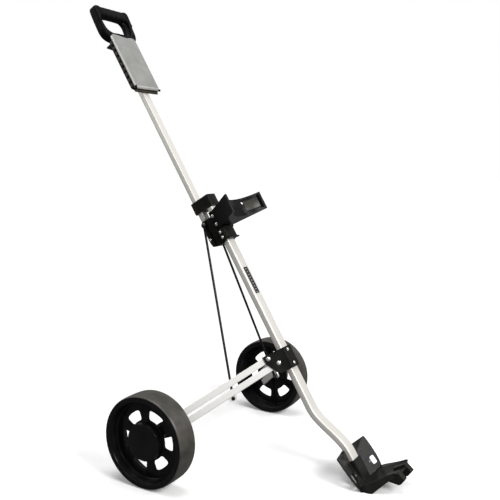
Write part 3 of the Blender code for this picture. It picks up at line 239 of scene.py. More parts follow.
TUBE_METAL = metal("satin_anodised_tube", (0.63, 0.60, 0.55), (0.77, 0.75, 0.71), 0.38,
                   along=UP_TUBE, lines=900, metallic=0.35)
BAR_METAL = metal("mill_finish_bars", (0.72, 0.71, 0.68), (0.88, 0.87, 0.84), 0.36,
                  lines=900, stretch=0.4, metallic=0.3)
ZINC = metal("zinc_plate", (0.50, 0.50, 0.49), (0.78, 0.78, 0.76), 0.24,
             lines=300, depth=0.00001, edge=0.0003, stretch=0.6, metallic=0.9)
DARK_ZINC = metal("dark_zinc", (0.10, 0.10, 0.10), (0.22, 0.22, 0.215), 0.34,
                  lines=300, depth=0.00001, edge=0.0003, stretch=0.6, metallic=0.8)
BLACK_PAINT = moulded("black_paint", (0.003, 0.003, 0.003), (0.006, 0.006, 0.006), 0.34,
                      grain=2400, depth=0.00001, edge=0.0005, tint=(0.08, 0.08, 0.08),
                      Specular_IOR_Level=0.16)
PLASTIC = moulded("black_moulding", (0.0022, 0.0022, 0.0026), (0.0060, 0.0060, 0.0062), 0.34,
                  tint=(0.04, 0.04, 0.04), Specular_IOR_Level=0.09)
FOOT_PLASTIC = moulded("black_foot_moulding", (0.0045, 0.0045, 0.0040), (0.0150, 0.0150, 0.0130), 0.30,
                       grain=700, depth=0.00008, tint=(0.07, 0.07, 0.062), Specular_IOR_Level=0.22)
SADDLE_PLASTIC = moulded("black_saddle_moulding", (0.0022, 0.0022, 0.0030), (0.0060, 0.0060, 0.0062),
                         0.24, tint=(0.06, 0.06, 0.06), Specular_IOR_Level=0.15)
HANDLE_PLASTIC = moulded("handle_moulding", (0.0022, 0.0022, 0.0022), (0.0058, 0.0058, 0.0055), 0.42,
                         grain=900, depth=0.00007, tint=(0.03, 0.03, 0.03), Specular_IOR_Level=0.06)
WHEEL_PLASTIC = moulded("gloss_wheel_moulding", (0.0040, 0.0039, 0.0044), (0.0095, 0.0090, 0.0088), 0.18,
                        grain=1600, depth=0.00002, edge=0.0010, tint=(0.030, 0.030, 0.030),
                        Specular_IOR_Level=0.12)
SILVER = moulded("silver_moulding", (0.215, 0.218, 0.205), (0.275, 0.278, 0.262), 0.50,
                 grain=1500, depth=0.00008, edge=0.0016, tint=(0.52, 0.50, 0.47), metallic=0.2,
                 Specular_IOR_Level=0.3)
# Lighter, glossier copy of the cover's silver for its sloped edges and hinge lip; the extra lightness is a
# painted highlight where the key lamp catches them.
SILVER_PAINTED_HIGHLIGHT = moulded("silver_edge_painted_highlight", (0.34, 0.335, 0.32), (0.46, 0.45, 0.43), 0.38,
                      grain=1500, depth=0.00006, edge=0.0010, tint=(0.70, 0.68, 0.65), metallic=0.3,
                      Specular_IOR_Level=0.4)
UMBER_PLASTIC = moulded("umber_moulding", (0.022, 0.019, 0.013), (0.050, 0.043, 0.030), 0.40,
                        grain=900, depth=0.00006, tint=(0.12, 0.11, 0.09), Specular_IOR_Level=0.2)
WARM_PLASTIC = moulded("warm_black_moulding", (0.0036, 0.0035, 0.0030), (0.0100, 0.0098, 0.0086), 0.32,
                       tint=(0.06, 0.058, 0.052), Specular_IOR_Level=0.14)
UMBER_SADDLE = moulded("umber_saddle_moulding", (0.013, 0.0118, 0.0085), (0.029, 0.0260, 0.0190), 0.30,
                       grain=900, depth=0.00006, tint=(0.10, 0.095, 0.080), Specular_IOR_Level=0.22)
NYLON = moulded("grey_nylon", (0.26, 0.26, 0.25), (0.36, 0.36, 0.345), 0.45)
RUBBER = moulded("grip_rubber", (0.0034, 0.0034, 0.0032), (0.0085, 0.0085, 0.0080), 0.56,
                 grain=520, depth=0.00016, edge=0.0012, tint=(0.03, 0.03, 0.028), Specular_IOR_Level=0.08)
TYRE = tyre_rubber()
LABEL = label_print()


# ---- mesh helpers ------------------------------------------------------------------------------------
def piece(name, form, mat, node=None, body=None, slot=None, matrix=None, sharp=32.0):
    """Stores a bmesh in world coordinates as a piece that rides on a body.

    It stands in for a CAD node, which then gives it its body and its slot, or is added beside them.
    """
    slot = slot or SLOT_OF[node]
    if matrix is not None:
        form.transform(matrix)
        if matrix.determinant() < 0:
            bmesh.ops.reverse_faces(form, faces=form.faces)
    mesh = bpy.data.meshes.new(name)
    form.to_mesh(mesh)
    form.free()
    mesh.materials.append(mat)
    mesh.shade_smooth()
    mesh.set_sharp_from_angle(angle=math.radians(sharp))
    made = bpy.data.objects.new(name, mesh)
    bpy.context.scene.collection.objects.link(made)
    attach(made, body or BODY_OF[node])
    if node:
        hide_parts(node)


def turned_form(profile, steps=64, closed=False):
    """A bmesh turned about Z from (radius, height) points. Points on the axis are shared."""
    form = bmesh.new()
    rings = []
    for radius, height in profile:
        if radius < 1e-7:
            rings.append([form.verts.new((0, 0, height))])
            continue
        turns = [2 * math.pi * k / steps for k in range(steps)]
        rings.append([form.verts.new((radius * math.cos(t), radius * math.sin(t), height)) for t in turns])
    pairs = list(zip(rings, rings[1:]))
    if closed:
        pairs.append((rings[-1], rings[0]))
    for a, b in pairs:
        for k in range(steps):
            corners = [a[k % len(a)], a[(k + 1) % len(a)], b[(k + 1) % len(b)], b[k % len(b)]]
            unique = list(dict.fromkeys(corners))
            if len(unique) > 2:
                form.faces.new(unique)
    bmesh.ops.recalc_face_normals(form, faces=form.faces)
    return form


def soften(profile, radius, count=3, closed=False):
    """A profile or outline with its corners rounded."""
    result = []
    total = len(profile)
    for i, corner in enumerate(profile):
        if not closed and i in (0, total - 1):
            result.append(tuple(corner))
            continue
        here = Vector(corner)
        before = Vector(profile[i - 1]) - here
        after = Vector(profile[(i + 1) % total]) - here
        reach = min(radius, before.length * 0.45, after.length * 0.45)
        first = here + before.normalized() * reach
        last = here + after.normalized() * reach
        for k in range(count + 1):
            t = k / count
            result.append(tuple(first * (1 - t) ** 2 + here * 2 * t * (1 - t) + last * t ** 2))
    return result


def plate_form(outer, low, high, edge, plane="XZ", holes=(), steps=3):
    """A flat outline with thickness and rounded edges. plane names the outline's two axes."""
    curve = bpy.data.curves.new("plate", "CURVE")
    curve.dimensions = "2D"
    curve.fill_mode = "BOTH"
    curve.extrude = (high - low) / 2 - edge
    curve.bevel_depth = edge
    curve.bevel_resolution = steps
    curve.offset = -edge
    for loop in (outer, *holes):
        spline = curve.splines.new("POLY")
        spline.points.add(len(loop) - 1)
        for point, corner in zip(spline.points, loop):
            point.co = (*corner, 0.0, 1.0)
        spline.use_cyclic_u = True
    drawn = bpy.data.objects.new("plate", curve)
    bpy.context.scene.collection.objects.link(drawn)
    graph = bpy.context.evaluated_depsgraph_get()
    mesh = bpy.data.meshes.new_from_object(drawn.evaluated_get(graph))
    bpy.data.objects.remove(drawn)
    form = bmesh.new()
    form.from_mesh(mesh)
    bpy.data.meshes.remove(mesh)
    bmesh.ops.remove_doubles(form, verts=form.verts, dist=1e-6)
    bmesh.ops.translate(form, verts=form.verts, vec=(0, 0, (low + high) / 2))
    turns = {"XY": Matrix.Identity(4),
             "XZ": Matrix(((1, 0, 0, 0), (0, 0, 1, 0), (0, 1, 0, 0), (0, 0, 0, 1))),
             "YZ": Matrix(((0, 0, 1, 0), (1, 0, 0, 0), (0, 1, 0, 0), (0, 0, 0, 1)))}
    form.transform(turns[plane])
    bmesh.ops.recalc_face_normals(form, faces=form.faces)
    return form


def merged(*forms):
    """Several bmeshes as one."""
    whole = bmesh.new()
    for form in forms:
        mesh = bpy.data.meshes.new("part")
        form.to_mesh(mesh)
        form.free()
        whole.from_mesh(mesh)
        bpy.data.meshes.remove(mesh)
    return whole


def arc(centre, radius, start, end, count):
    """Points of an arc, with its ends in degrees."""
    turns = [math.radians(start + (end - start) * i / (count - 1)) for i in range(count)]
    return [(centre[0] + radius * math.cos(t), centre[1] + radius * math.sin(t)) for t in turns]


def mirrored(half):
    """A closed outline from its right half, listed from the centre line and back to it."""
    return list(half) + [(-x, z) for x, z in reversed(half)]


def skin(node, mat):
    """The CAD node's own shape, with its flat faces whole again and its curved faces smooth."""
    form = bmesh.new()
    form.from_mesh(NODES[node].data)
    bmesh.ops.remove_doubles(form, verts=form.verts, dist=2e-6)
    bmesh.ops.dissolve_limit(form, angle_limit=math.radians(0.4), verts=form.verts, edges=form.edges)
    piece(node + "_skin", form, mat, node)


# ---- wheels ------------------------------------------------------------------------------------------
DISC = 0.0060                               # height of the slotted disc's middle above the wheel's middle
DISC_HALF = 0.0018
SPOKES = 6
PITCH = 360.0 / SPOKES
SLOT_START = {"left": 38.0, "right": 40.0}  # degrees to a slot's middle, as the wheels stand in the photo
SLOT_RADII = (0.0512, 0.0752)
SLOT_HALF = 18.0                            # degrees
RIB_START = 8.0                             # degrees


def tyre(word):
    """Broad hard band: a crowned tread with fine cross ribs between smooth shoulders."""
    half, seat, crown = 0.0302, 0.1011, 0.11495
    ribbed, rib_depth, steps = 0.0221, 0.0006, 240
    side = [(seat, half), (0.1118, half), (0.1130, half - 0.0006), (0.1137, half - 0.0022),
            (0.1141, half - 0.0050), (0.1143, half - 0.0080), (0.1144, half - 0.0082),
            (0.1147, 0.0130), (0.1148, 0.0065)]
    profile = side + [(crown, 0.0)] + [(radius, -height) for radius, height in reversed(side)]
    form = bmesh.new()
    rings = []
    for radius, height in profile:
        ring = []
        for k in range(steps):
            turn = 2 * math.pi * k / steps
            reach = radius - rib_depth if abs(height) < ribbed and k % 2 else radius
            ring.append(form.verts.new((reach * math.cos(turn), reach * math.sin(turn), height)))
        rings.append(ring)
    for a, b in zip(rings, rings[1:] + rings[:1]):
        for k in range(steps):
            form.faces.new((a[k], a[(k + 1) % steps], b[(k + 1) % steps], b[k]))
    bmesh.ops.recalc_face_normals(form, faces=form.faces)
    piece(f"tyre_{word}_band", form, TYRE, f"tyre_{word}", matrix=WHEELS[word], sharp=40)


def slot_outline(middle):
    """A kidney slot round an angle of the disc, with well rounded corners."""
    inner, outer = SLOT_RADII
    first, last = middle - SLOT_HALF, middle + SLOT_HALF
    ring = arc((0, 0), outer, first, last, 4) + arc((0, 0), inner, last, first, 3)
    return soften(ring, 0.0105, 7, closed=True)


def disc_rib(turn):
    """A thin radial rib behind the disc."""
    top = DISC - 0.0016
    rib = plate_form([(0.0140, top - 0.0140), (0.0140, top), (0.0966, top), (0.0966, top - 0.0060),
                      (0.0800, top - 0.0040), (0.0350, top - 0.0050)], -0.0012, 0.0012, 0.0005, steps=1)
    rib.transform(Matrix.Rotation(math.radians(turn), 4, "Z"))
    return rib


def rim(word):
    """Deep-dish moulding: barrel, slotted disc with ribs behind it, hub drum and bearing boss."""
    barrel = [(0.1006, 0.0303), (0.1006, -0.0303), (0.1110, -0.0303), (0.1114, -0.0307),
              (0.1110, -0.0310), (0.0990, -0.0310), (0.0978, -0.0302), (0.0974, -0.0290),
              (0.0972, DISC - 0.0045), (0.0955, DISC - 0.0021), (0.0930, DISC - 0.0014),
              (0.0930, DISC + 0.0014), (0.0948, DISC + 0.0026), (0.0966, DISC + 0.0050),
              (0.0980, DISC + 0.0110), (0.0990, 0.0285), (0.1000, 0.0304), (0.1012, 0.0309),
              (0.1108, 0.0310), (0.1116, 0.0307), (0.1112, 0.0303)]
    drum = [(0.0400, DISC + 0.0016), (0.0400, 0.0240), (0.0428, 0.0252), (0.0450, 0.0252),
            (0.0458, 0.0244), (0.0462, DISC + 0.0050), (0.0480, DISC + 0.0022),
            (0.0492, DISC + 0.0016)]
    boss = [(0.0054, 0.0178), (0.0130, 0.0178), (0.0140, 0.0168), (0.0150, DISC + 0.0016),
            (0.0170, DISC), (0.0155, DISC - DISC_HALF), (0.0140, DISC - 0.0040), (0.0134, -0.0236),
            (0.0126, -0.0244), (0.0054, -0.0244)]
    slots = [slot_outline(SLOT_START[word] + i * PITCH) for i in range(SPOKES)]
    disc = plate_form(arc((0, 0), 0.0945, 0, 358, 180), DISC - DISC_HALF, DISC + DISC_HALF, 0.0010, "XY",
                      holes=[arc((0, 0), 0.0140, 0, 354, 60)] + slots, steps=2)
    forms = [turned_form(barrel, 192, closed=True), disc, turned_form(drum, 128),
             turned_form(boss, 64, closed=True)]
    forms += [disc_rib(RIB_START + i * PITCH) for i in range(SPOKES)]
    piece(f"wheel_{word}_moulding", merged(*forms), WHEEL_PLASTIC, f"wheel_{word}",
          matrix=WHEELS[word], sharp=35)


def hub_cap(word):
    """Plain domed cap with a shallow stepped ring."""
    profile = [(0.0, 0.0306), (0.0080, 0.03055), (0.0160, 0.0303), (0.0240, 0.0299), (0.0300, 0.02945),
               (0.0312, 0.0289), (0.0324, 0.0288), (0.0336, 0.0291), (0.0390, 0.0282),
               (0.0430, 0.0272), (0.0452, 0.0264), (0.0459, 0.0258), (0.0425, 0.0258),
               (0.0425, 0.0200), (0.0408, 0.0200), (0.0405, 0.0255), (0.0, 0.0262)]
    piece(f"hub_cap_{word}_dome", turned_form(profile, 128), WHEEL_PLASTIC, f"hub_cap_{word}",
          matrix=WHEELS[word], sharp=40)


# ---- tubes -------------------------------------------------------------------------------------------
TUBE = (0.0346, 0.0170)                     # width and depth of the spine's section
TUBE_TOP, TUBE_FOOT = 0.452, -0.335
BEND_TOP, BEND_DROP, BEND_SHIFT = -0.135, 0.140, -0.043
HANDLE_TUBE = (0.0262, 0.0150)
HANDLE_TUBE_Y = 0.0375
HANDLE_TUBE_SPAN = (0.368, 0.985)
LABEL_HALF = 0.0098
LABEL_SPAN = (0.1895, 0.2665)


def tube_ring(y, z, side, section, corner, count=6):
    """One cross-section of a rounded rectangular tube round a point of its centre line."""
    u, v = section[0] / 2, section[1] / 2
    corners = soften([(-u, -v), (u, -v), (u, v), (-u, v)], corner, count, closed=True)
    return [(across, y + side[0] * out, z + side[1] * out) for across, out in corners]


def swept_form(path, section, corner, wall):
    """A hollow tube along (y, z) points with open rounded ends."""
    form = bmesh.new()
    outer, inner = [], []
    bore = (section[0] - 2 * wall, section[1] - 2 * wall)
    bore_corner = max(corner - wall, 0.0012)
    for i, (y, z) in enumerate(path):
        before, after = Vector(path[max(i - 1, 0)]), Vector(path[min(i + 1, len(path) - 1)])
        along = (after - before).normalized()
        side = Vector((-along[1], along[0]))
        outer.append([form.verts.new(p) for p in tube_ring(y, z, side, section, corner)])
        inner.append([form.verts.new(p) for p in tube_ring(y, z, side, bore, bore_corner)])
    pairs = [(outer[0], inner[0]), (outer[-1], inner[-1])]
    for rings in (outer, inner):
        pairs += zip(rings, rings[1:])
    for a, b in pairs:
        for k in range(len(a)):
            form.faces.new((a[k - 1], a[k], b[k], b[k - 1]))
    bmesh.ops.recalc_face_normals(form, faces=form.faces)
    return form


def main_tube():
    """The spine: a straight extrusion with a smooth S-bend to the foot."""
    path = [(0.0, TUBE_TOP - 0.02 * i) for i in range(30)]
    for i in range(1, 41):
        t = i / 40
        path.append((BEND_SHIFT * t * t * (3 - 2 * t), BEND_TOP - BEND_DROP * t))
    path += [(BEND_SHIFT, -0.300), (BEND_SHIFT, TUBE_FOOT)]
    form = swept_form(path, TUBE, 0.0048, 0.0016)
    piece("main_tube_extrusion", form, TUBE_METAL, "main_tube", matrix=SPINE)


def tube_label():
    """A thin printed plate on the front of the spine."""
    low, high = LABEL_SPAN
    outline = [(-LABEL_HALF, low), (LABEL_HALF, low), (LABEL_HALF, high), (-LABEL_HALF, high)]
    label = plate_form(soften(outline, 0.0012, 3, closed=True), -0.00885, -0.00845, 0.00012, steps=1)
    piece("tube_label", label, LABEL, body="spine", slot="spine_tube", matrix=SPINE)


def handle_tube():
    """Straight inner tube between the slider and the neck of the handle."""
    low, high = HANDLE_TUBE_SPAN
    path = [(HANDLE_TUBE_Y, low + (high - low) * i / 10) for i in range(11)]
    form = swept_form(path, HANDLE_TUBE, 0.0036, 0.0014)
    piece("handle_tube_extrusion", form, TUBE_METAL, "handle_tube", matrix=SPINE)


# ---- handle ------------------------------------------------------------------------------------------
HANDLE_AT = (0.0, 0.0302, 1.020)
HANDLE_TILT = math.radians(3.5)
HANDLE = SPINE @ Matrix.Translation(HANDLE_AT) @ Matrix.Rotation(HANDLE_TILT, 4, "X")
LIMB_LAYERS = ((0.0572, -0.0142, 0.0010), (0.0475, -0.0030, 0.0128))    # inner half-width, front, rear
CORNER_DEPTH = (-0.0162, 0.0118)
GRIP_HALF = 0.0462
GRIP_DEPTH = (-0.0172, 0.0104)
GRIP_HEIGHT = (0.0546, 0.0848)
GROOVED_HALF = 0.0420
GROOVES = 4
GROOVE_DEPTH = 0.0034
GRIP_ROUNDNESS = 0.62                       # 1 is an ellipse, and less is squarer
GRIP_RIB = 0.00022


def blended(name, forms, mat, node, matrix, voxel=0.0012, smooth=14):
    """Several rounded solids melted into one moulding with filleted joins."""
    form = merged(*forms)
    mesh = bpy.data.meshes.new(name)
    form.to_mesh(mesh)
    form.free()
    drawn = bpy.data.objects.new(name, mesh)
    bpy.context.scene.collection.objects.link(drawn)
    melt = drawn.modifiers.new("Remesh", "REMESH")
    melt.mode = "VOXEL"
    melt.voxel_size = voxel
    even = drawn.modifiers.new("Smooth", "SMOOTH")
    even.factor = 0.5
    even.iterations = smooth
    graph = bpy.context.evaluated_depsgraph_get()
    made = bpy.data.meshes.new_from_object(drawn.evaluated_get(graph))
    bpy.data.objects.remove(drawn)
    bpy.data.meshes.remove(mesh)
    form = bmesh.new()
    form.from_mesh(made)
    bpy.data.meshes.remove(made)
    piece(name, form, mat, node, matrix=matrix, sharp=60)


def handle_frame():
    """D-shaped moulding: limbs in two layers, swollen corners and a cross bar under the grip."""
    outer = soften(mirrored([(0.0150, -0.0200), (0.0360, -0.0192), (0.0530, -0.0140), (0.0640, -0.0040),
                             (0.0682, 0.0095), (0.0688, 0.0340), (0.0690, 0.0600), (0.0680, 0.0770),
                             (0.0600, 0.0840), (0.0440, 0.0820)]), 0.012, 5, closed=True)
    corner = [(0.0440, 0.0630), (0.0580, 0.0470), (0.0690, 0.0330), (0.0700, 0.0770),
              (0.0650, 0.0862), (0.0530, 0.0872), (0.0440, 0.0835)]
    forms = []
    for side, front, rear in LIMB_LAYERS:
        inner = mirrored([(0.0180, 0.0050), (0.0340, 0.0034), (side - 0.0055, 0.0120),
                          (side - 0.0010, 0.0280), (side, 0.0470), (side - 0.0060, 0.0575),
                          (0.0150, 0.0590)])
        forms.append(plate_form(outer, front, rear, 0.0055, holes=[soften(inner, 0.008, 5, closed=True)]))
    for sign in (-1, 1):
        outline = soften([(sign * x, z) for x, z in corner], 0.008, 4, closed=True)
        forms.append(plate_form(outline, *CORNER_DEPTH, 0.0060))
    bar = [(-0.0160, 0.0600), (0.0090, 0.0600), (0.0090, 0.0815), (-0.0160, 0.0815)]
    forms.append(plate_form(soften(bar, 0.006, 4, closed=True), -0.050, 0.050, 0.0020, "YZ"))
    blended("handle_frame_moulding", forms, HANDLE_PLASTIC, "handle_frame", HANDLE)


def handle_neck():
    """The neck between the handle and its tube, and the two ears that hold the lever."""
    section = [(-0.0175, 0.0303), (0.0175, 0.0303), (0.0175, 0.0487), (-0.0175, 0.0487)]
    neck = plate_form(soften(section, 0.005, 5, closed=True), 0.930, 1.0085, 0.0012, "XY")
    piece("handle_neck", neck, HANDLE_PLASTIC, body="carriage", slot="handle_frame", matrix=SPINE)
    outline = [(0.0460, 0.990), (0.0610, 0.9990), (0.0610, 1.0075), (0.0460, 1.0075)]
    for word, sides in (("left", (-0.0092, -0.0063)), ("right", (0.0063, 0.0092))):
        ear = plate_form(soften(outline, 0.003, 4, closed=True), *sides, 0.0006, "YZ")
        piece(f"lever_ear_{word}", ear, HANDLE_PLASTIC, body="carriage", slot="handle_frame",
              matrix=SPINE)


def grip_ring(x, ribbed, steps=48):
    """The grip's section at x, in the handle's frame."""
    front, rear = GRIP_DEPTH
    low, high = GRIP_HEIGHT
    if abs(x) < GROOVED_HALF:
        turn = (x + GROOVED_HALF) / GROOVED_HALF * GROOVES * math.pi
        low += GROOVE_DEPTH * (0.5 - 0.5 * math.cos(turn))
    end = min(1.0, (GRIP_HALF - abs(x)) / 0.0022)
    swell = 1.0 - 0.07 * (1.0 - end) ** 2
    rib = GRIP_RIB if ribbed and end >= 1.0 else 0.0
    middle = Vector(((front + rear) / 2, (low + high) / 2))
    half = swell * Vector(((rear - front) / 2, (high - low) / 2))
    ring = []
    for k in range(steps):
        c, s = math.cos(2 * math.pi * k / steps), math.sin(2 * math.pi * k / steps)
        out = Vector((half[0] * abs(c) ** GRIP_ROUNDNESS * (1 if c > 0 else -1),
                      half[1] * abs(s) ** GRIP_ROUNDNESS * (1 if s > 0 else -1)))
        at_ring = middle + out - out.normalized() * rib
        ring.append((x, at_ring[0], at_ring[1]))
    return ring


def hand_grip():
    """Soft sleeve over the cross bar: rounded section with four finger grooves and fine moulded ribs."""
    form = bmesh.new()
    count = 150
    rings = []
    for i in range(count + 1):
        ring = grip_ring(GRIP_HALF * (2 * i / count - 1), i % 3 == 0)
        rings.append([form.verts.new(point) for point in ring])
    for a, b in zip(rings, rings[1:]):
        for k in range(len(a)):
            form.faces.new((a[k - 1], a[k], b[k], b[k - 1]))
    form.faces.new(rings[0])
    form.faces.new(rings[-1])
    bmesh.ops.recalc_face_normals(form, faces=form.faces)
    piece("hand_grip_sleeve", form, RUBBER, "hand_grip", matrix=HANDLE, sharp=50)


# ---- saddle ------------------------------------------------------------------------------------------
SADDLE_RADIUS = 0.1089
SADDLE_CENTRE = (0.0, -0.0660 - SADDLE_RADIUS)
SADDLE_SPAN = (0.388, 0.438)
SADDLE_BACK = SADDLE_RADIUS + 0.0052        # where the trim ends, inside the saddle's wall
PANEL_AT = 31.0                             # degrees from the middle of the hollow
LIP_REACH, INSET_REACH = 12.9, 12.0         # degrees on each side of the panel's middle
LIP_HEIGHT, LIP_TO_INSET = 0.0040, 0.0014
RIVET_AT = 15.5                             # degrees
RIVET_HEIGHT = 0.4230


def hollow_plate(face, first, last, low, high, edge, steps=2):
    """A plate that lines the hollow between two angles, with its face at a radius."""
    outline = arc(SADDLE_CENTRE, SADDLE_BACK, first, last, 12) + arc(SADDLE_CENTRE, face, last, first, 12)
    return plate_form(outline, low, high, edge, "XY", steps=steps)


def saddle_part(name, form, mat, slot="brackets", matrix=SPINE, sharp=40):
    """A piece of the saddle's trim, on the carriage."""
    piece(name, form, mat, body="carriage", slot=slot, matrix=matrix, sharp=sharp)


def saddle():
    """Trim of the saddle's hollow: a plain middle, and on each side a rivet and an inset between two lips."""
    low, high = SADDLE_SPAN[0] + 0.0059, SADDLE_SPAN[1] - 0.0049
    middle = hollow_plate(SADDLE_RADIUS - 0.0002, 72.0, 108.0, low, high, 0.0004, steps=1)
    saddle_part("saddle_middle", middle, SADDLE_PLASTIC)
    for word, sign in (("left", 1), ("right", -1)):
        centre = 90.0 + sign * PANEL_AT
        spans = ((low, low + LIP_HEIGHT), (high - LIP_HEIGHT, high))
        lips = [hollow_plate(SADDLE_RADIUS + 0.0018, centre - LIP_REACH, centre + LIP_REACH, *span, 0.0014)
                for span in spans]
        clear = LIP_HEIGHT + LIP_TO_INSET
        inset = hollow_plate(SADDLE_RADIUS + 0.0022, centre - INSET_REACH, centre + INSET_REACH,
                             low + clear, high - clear, 0.0011)
        saddle_part(f"saddle_inset_{word}", inset, UMBER_SADDLE)
        saddle_part(f"saddle_panel_{word}", merged(*lips), SADDLE_PLASTIC)
        turn = math.radians(90.0 + sign * RIVET_AT)
        place = (SADDLE_RADIUS * math.cos(turn),
                 SADDLE_CENTRE[1] + (SADDLE_RADIUS - 0.0003) * math.sin(turn), RIVET_HEIGHT)
        facing = Matrix.Rotation(turn, 4, "Z") @ Matrix.Rotation(-math.pi / 2, 4, "Y")
        saddle_part(f"saddle_rivet_{word}", dome_form(*SADDLE_RIVET, 0.0010), ZINC,
                    slot="fasteners", matrix=at(SPINE, place, facing), sharp=50)


# ---- console -----------------------------------------------------------------------------------------
CONSOLE_SPAN = (0.838, 1.016)
HINGE = (0.0192, CONSOLE_SPAN[0] + 0.0036)
COVER_SPAN = (HINGE[1] + 0.0048, CONSOLE_SPAN[1] - 0.0005)
LIP_HALF = 0.0460
RIBS = 9


def carved(form, cutter):
    """A bmesh with a closed solid cut away from it."""
    drawn = []
    for name, shape in (("carved", form), ("tool", cutter)):
        mesh = bpy.data.meshes.new(name)
        shape.to_mesh(mesh)
        shape.free()
        drawn.append(bpy.data.objects.new(name, mesh))
        bpy.context.scene.collection.objects.link(drawn[-1])
    whole, tool = drawn
    cut = whole.modifiers.new("Cut", "BOOLEAN")
    cut.object = tool
    cut.operation = "DIFFERENCE"
    graph = bpy.context.evaluated_depsgraph_get()
    mesh = bpy.data.meshes.new_from_object(whole.evaluated_get(graph))
    for thing in drawn:
        old = thing.data
        bpy.data.objects.remove(thing)
        bpy.data.meshes.remove(old)
    result = bmesh.new()
    result.from_mesh(mesh)
    bpy.data.meshes.remove(mesh)
    return result


def cover_bar(section):
    """A prism along the cover, cut to the wavy line of its top."""
    low, high = COVER_SPAN
    wave = [(-0.060, high - 0.0105), (-0.0505, high - 0.0080), (-0.0440, high - 0.0016),
            (-0.0280, high - 0.0010), (-0.0080, high - 0.0034), (0.0120, high - 0.0060),
            (0.0280, high - 0.0028), (0.0400, high - 0.0010), (0.0490, high - 0.0060),
            (0.060, high - 0.0300)]
    above = soften(wave, 0.006, 4) + [(0.060, high + 0.01), (-0.060, high + 0.01)]
    cutter = plate_form(above, 0.010, 0.024, 0.0001, steps=1)
    return carved(plate_form(section, low, high, 0.0002, "XY", steps=1), cutter)


def score_plate():
    """Cover: a shallow channel with sloping side edges and a curled hinge lip between two knobs."""
    face = [(0.0494, 0.0152), (-0.0494, 0.0152), (-0.0486, 0.0168), (0.0486, 0.0168)]
    edge = [(0.0494, 0.0152), (0.0524, 0.0180), (0.0524, 0.0204), (0.0509, 0.0204), (0.0509, 0.0186),
            (0.0486, 0.0168)]
    piece("score_plate_face", cover_bar(face), SILVER, "score_plate", matrix=SPINE, sharp=25)
    edges = [cover_bar([(sign * x, y) for x, y in edge]) for sign in (-1, 1)]
    slot = SLOT_OF["score_plate"]
    # The sloped edges and the hinge lip take the lighter silver, a painted highlight.
    piece("score_plate_edges", merged(*edges), SILVER_PAINTED_HIGHLIGHT, body="console_cover", slot=slot,
          matrix=SPINE, sharp=25)
    y, z = HINGE
    curl = turned_form([(0.0014, LIP_HALF), (0.0030, LIP_HALF), (0.0034, LIP_HALF - 0.0006),
                        (0.0034, 0.0006 - LIP_HALF), (0.0030, -LIP_HALF), (0.0014, -LIP_HALF)],
                       40, closed=True)
    curl.transform(at(Matrix.Identity(4), (0, y, z), Matrix.Rotation(math.pi / 2, 4, "Y")))
    top = COVER_SPAN[0] + 0.0010
    web = plate_form([(y - 0.0040, z - 0.0006), (y - 0.0022, z - 0.0006), (y - 0.0022, top),
                      (y - 0.0040, top)], -LIP_HALF, LIP_HALF, 0.0004, "YZ", steps=1)
    piece("score_plate_lip", merged(curl, web), SILVER_PAINTED_HIGHLIGHT, body="console_cover", slot=slot,
          matrix=SPINE, sharp=40)


def console_part(name, form, mat):
    """A piece of the console, on the carriage."""
    piece(name, form, mat, body="carriage", slot="console", matrix=SPINE)


def console_trim():
    """Brown-grey lower band of the console, and a deep wall with ribs along each side."""
    low, high = CONSOLE_SPAN
    section = [(-0.0485, 0.0236), (0.0485, 0.0236), (0.0495, 0.0290), (-0.0495, 0.0290)]
    band = plate_form(soften(section, 0.003, 4, closed=True), low - 0.0050, low + 0.0030, 0.0008, "XY",
                      steps=2)
    console_part("console_band", band, UMBER_PLASTIC)
    profile = soften([(0.0215, low + 0.0010), (0.0215, high - 0.0120), (0.0280, high - 0.0120),
                      (0.0350, high - 0.0300), (0.0350, low + 0.0080), (0.0290, low + 0.0010)],
                     0.004, 4, closed=True)
    for word, sign in (("left", -1), ("right", 1)):
        wall = plate_form(profile, *sorted((sign * 0.0470, sign * 0.0501)), 0.0006, "YZ", steps=2)
        console_part(f"console_wall_{word}", wall, PLASTIC)
        strips = []
        for i in range(RIBS):
            z = low + 0.010 + i * 0.0172
            strip = [(0.0222, z), (0.0328, z), (0.0328, z + 0.0100), (0.0222, z + 0.0100)]
            sides = sorted((sign * 0.0499, sign * 0.0509))
            strips.append(plate_form(strip, *sides, 0.0003, "YZ", steps=1))
        console_part(f"console_ribs_{word}", merged(*strips), UMBER_PLASTIC)


# ---- fasteners ---------------------------------------------------------------------------------------
TO_FRONT = Matrix.Rotation(math.pi / 2, 4, "X")
TO_REAR = Matrix.Rotation(-math.pi / 2, 4, "X")
TO_LEFT = Matrix.Rotation(-math.pi / 2, 4, "Y")
PIVOTS = {"upper": (0.043, 0.023), "lower": (0.023, 0.002)}     # of the bars, in the leg's frame
BAR_LENGTH = 0.310
PIN = (0.0056, 0.0022, 0.0032)              # head, rise and shank, as for every fastener
PIN_FOOT = 0.0044
PUSH_ROD_PIN = (0.0036, 0.0014, 0.0026)
HUB_SCREW = (0.0048, 0.0020, 0.0022)
CRADLE_SCREW = (0.0046, 0.0020, 0.0018)
CLAMP_SCREW = (0.0040, 0.0018, 0.0018)
SADDLE_RIVET = (0.0036, 0.0018, 0.0018)
FOOT_RIVET = (0.0036, 0.0015, 0.0020)
PUSH_ROD_PIN_AT = (0.037, -0.0184, 0.418)   # in the leg's frame
FOOT_RIVET_AT = (-0.0330, -0.0030, -0.0610)     # in the foot wing's frame
HUB_SCREWS = {"upper": (0, -0.0148, 0.024), "lower": (0, -0.0148, -0.014)}
CRADLE_SCREWS = {"upper": (-0.0268, -0.0035, 0.4245), "lower": (-0.0268, -0.0035, 0.4005)}
CLAMP_SCREWS = {"upper": (-0.0276, -0.0035, 0.376), "lower": (-0.0276, -0.0035, 0.3615)}
FOOT_WING = (Matrix.Translation((-0.0185, -0.0345, -0.2625)) @ Matrix.Rotation(math.radians(15.5), 4, "Z")
             @ Matrix.Rotation(math.radians(-10), 4, "X"))


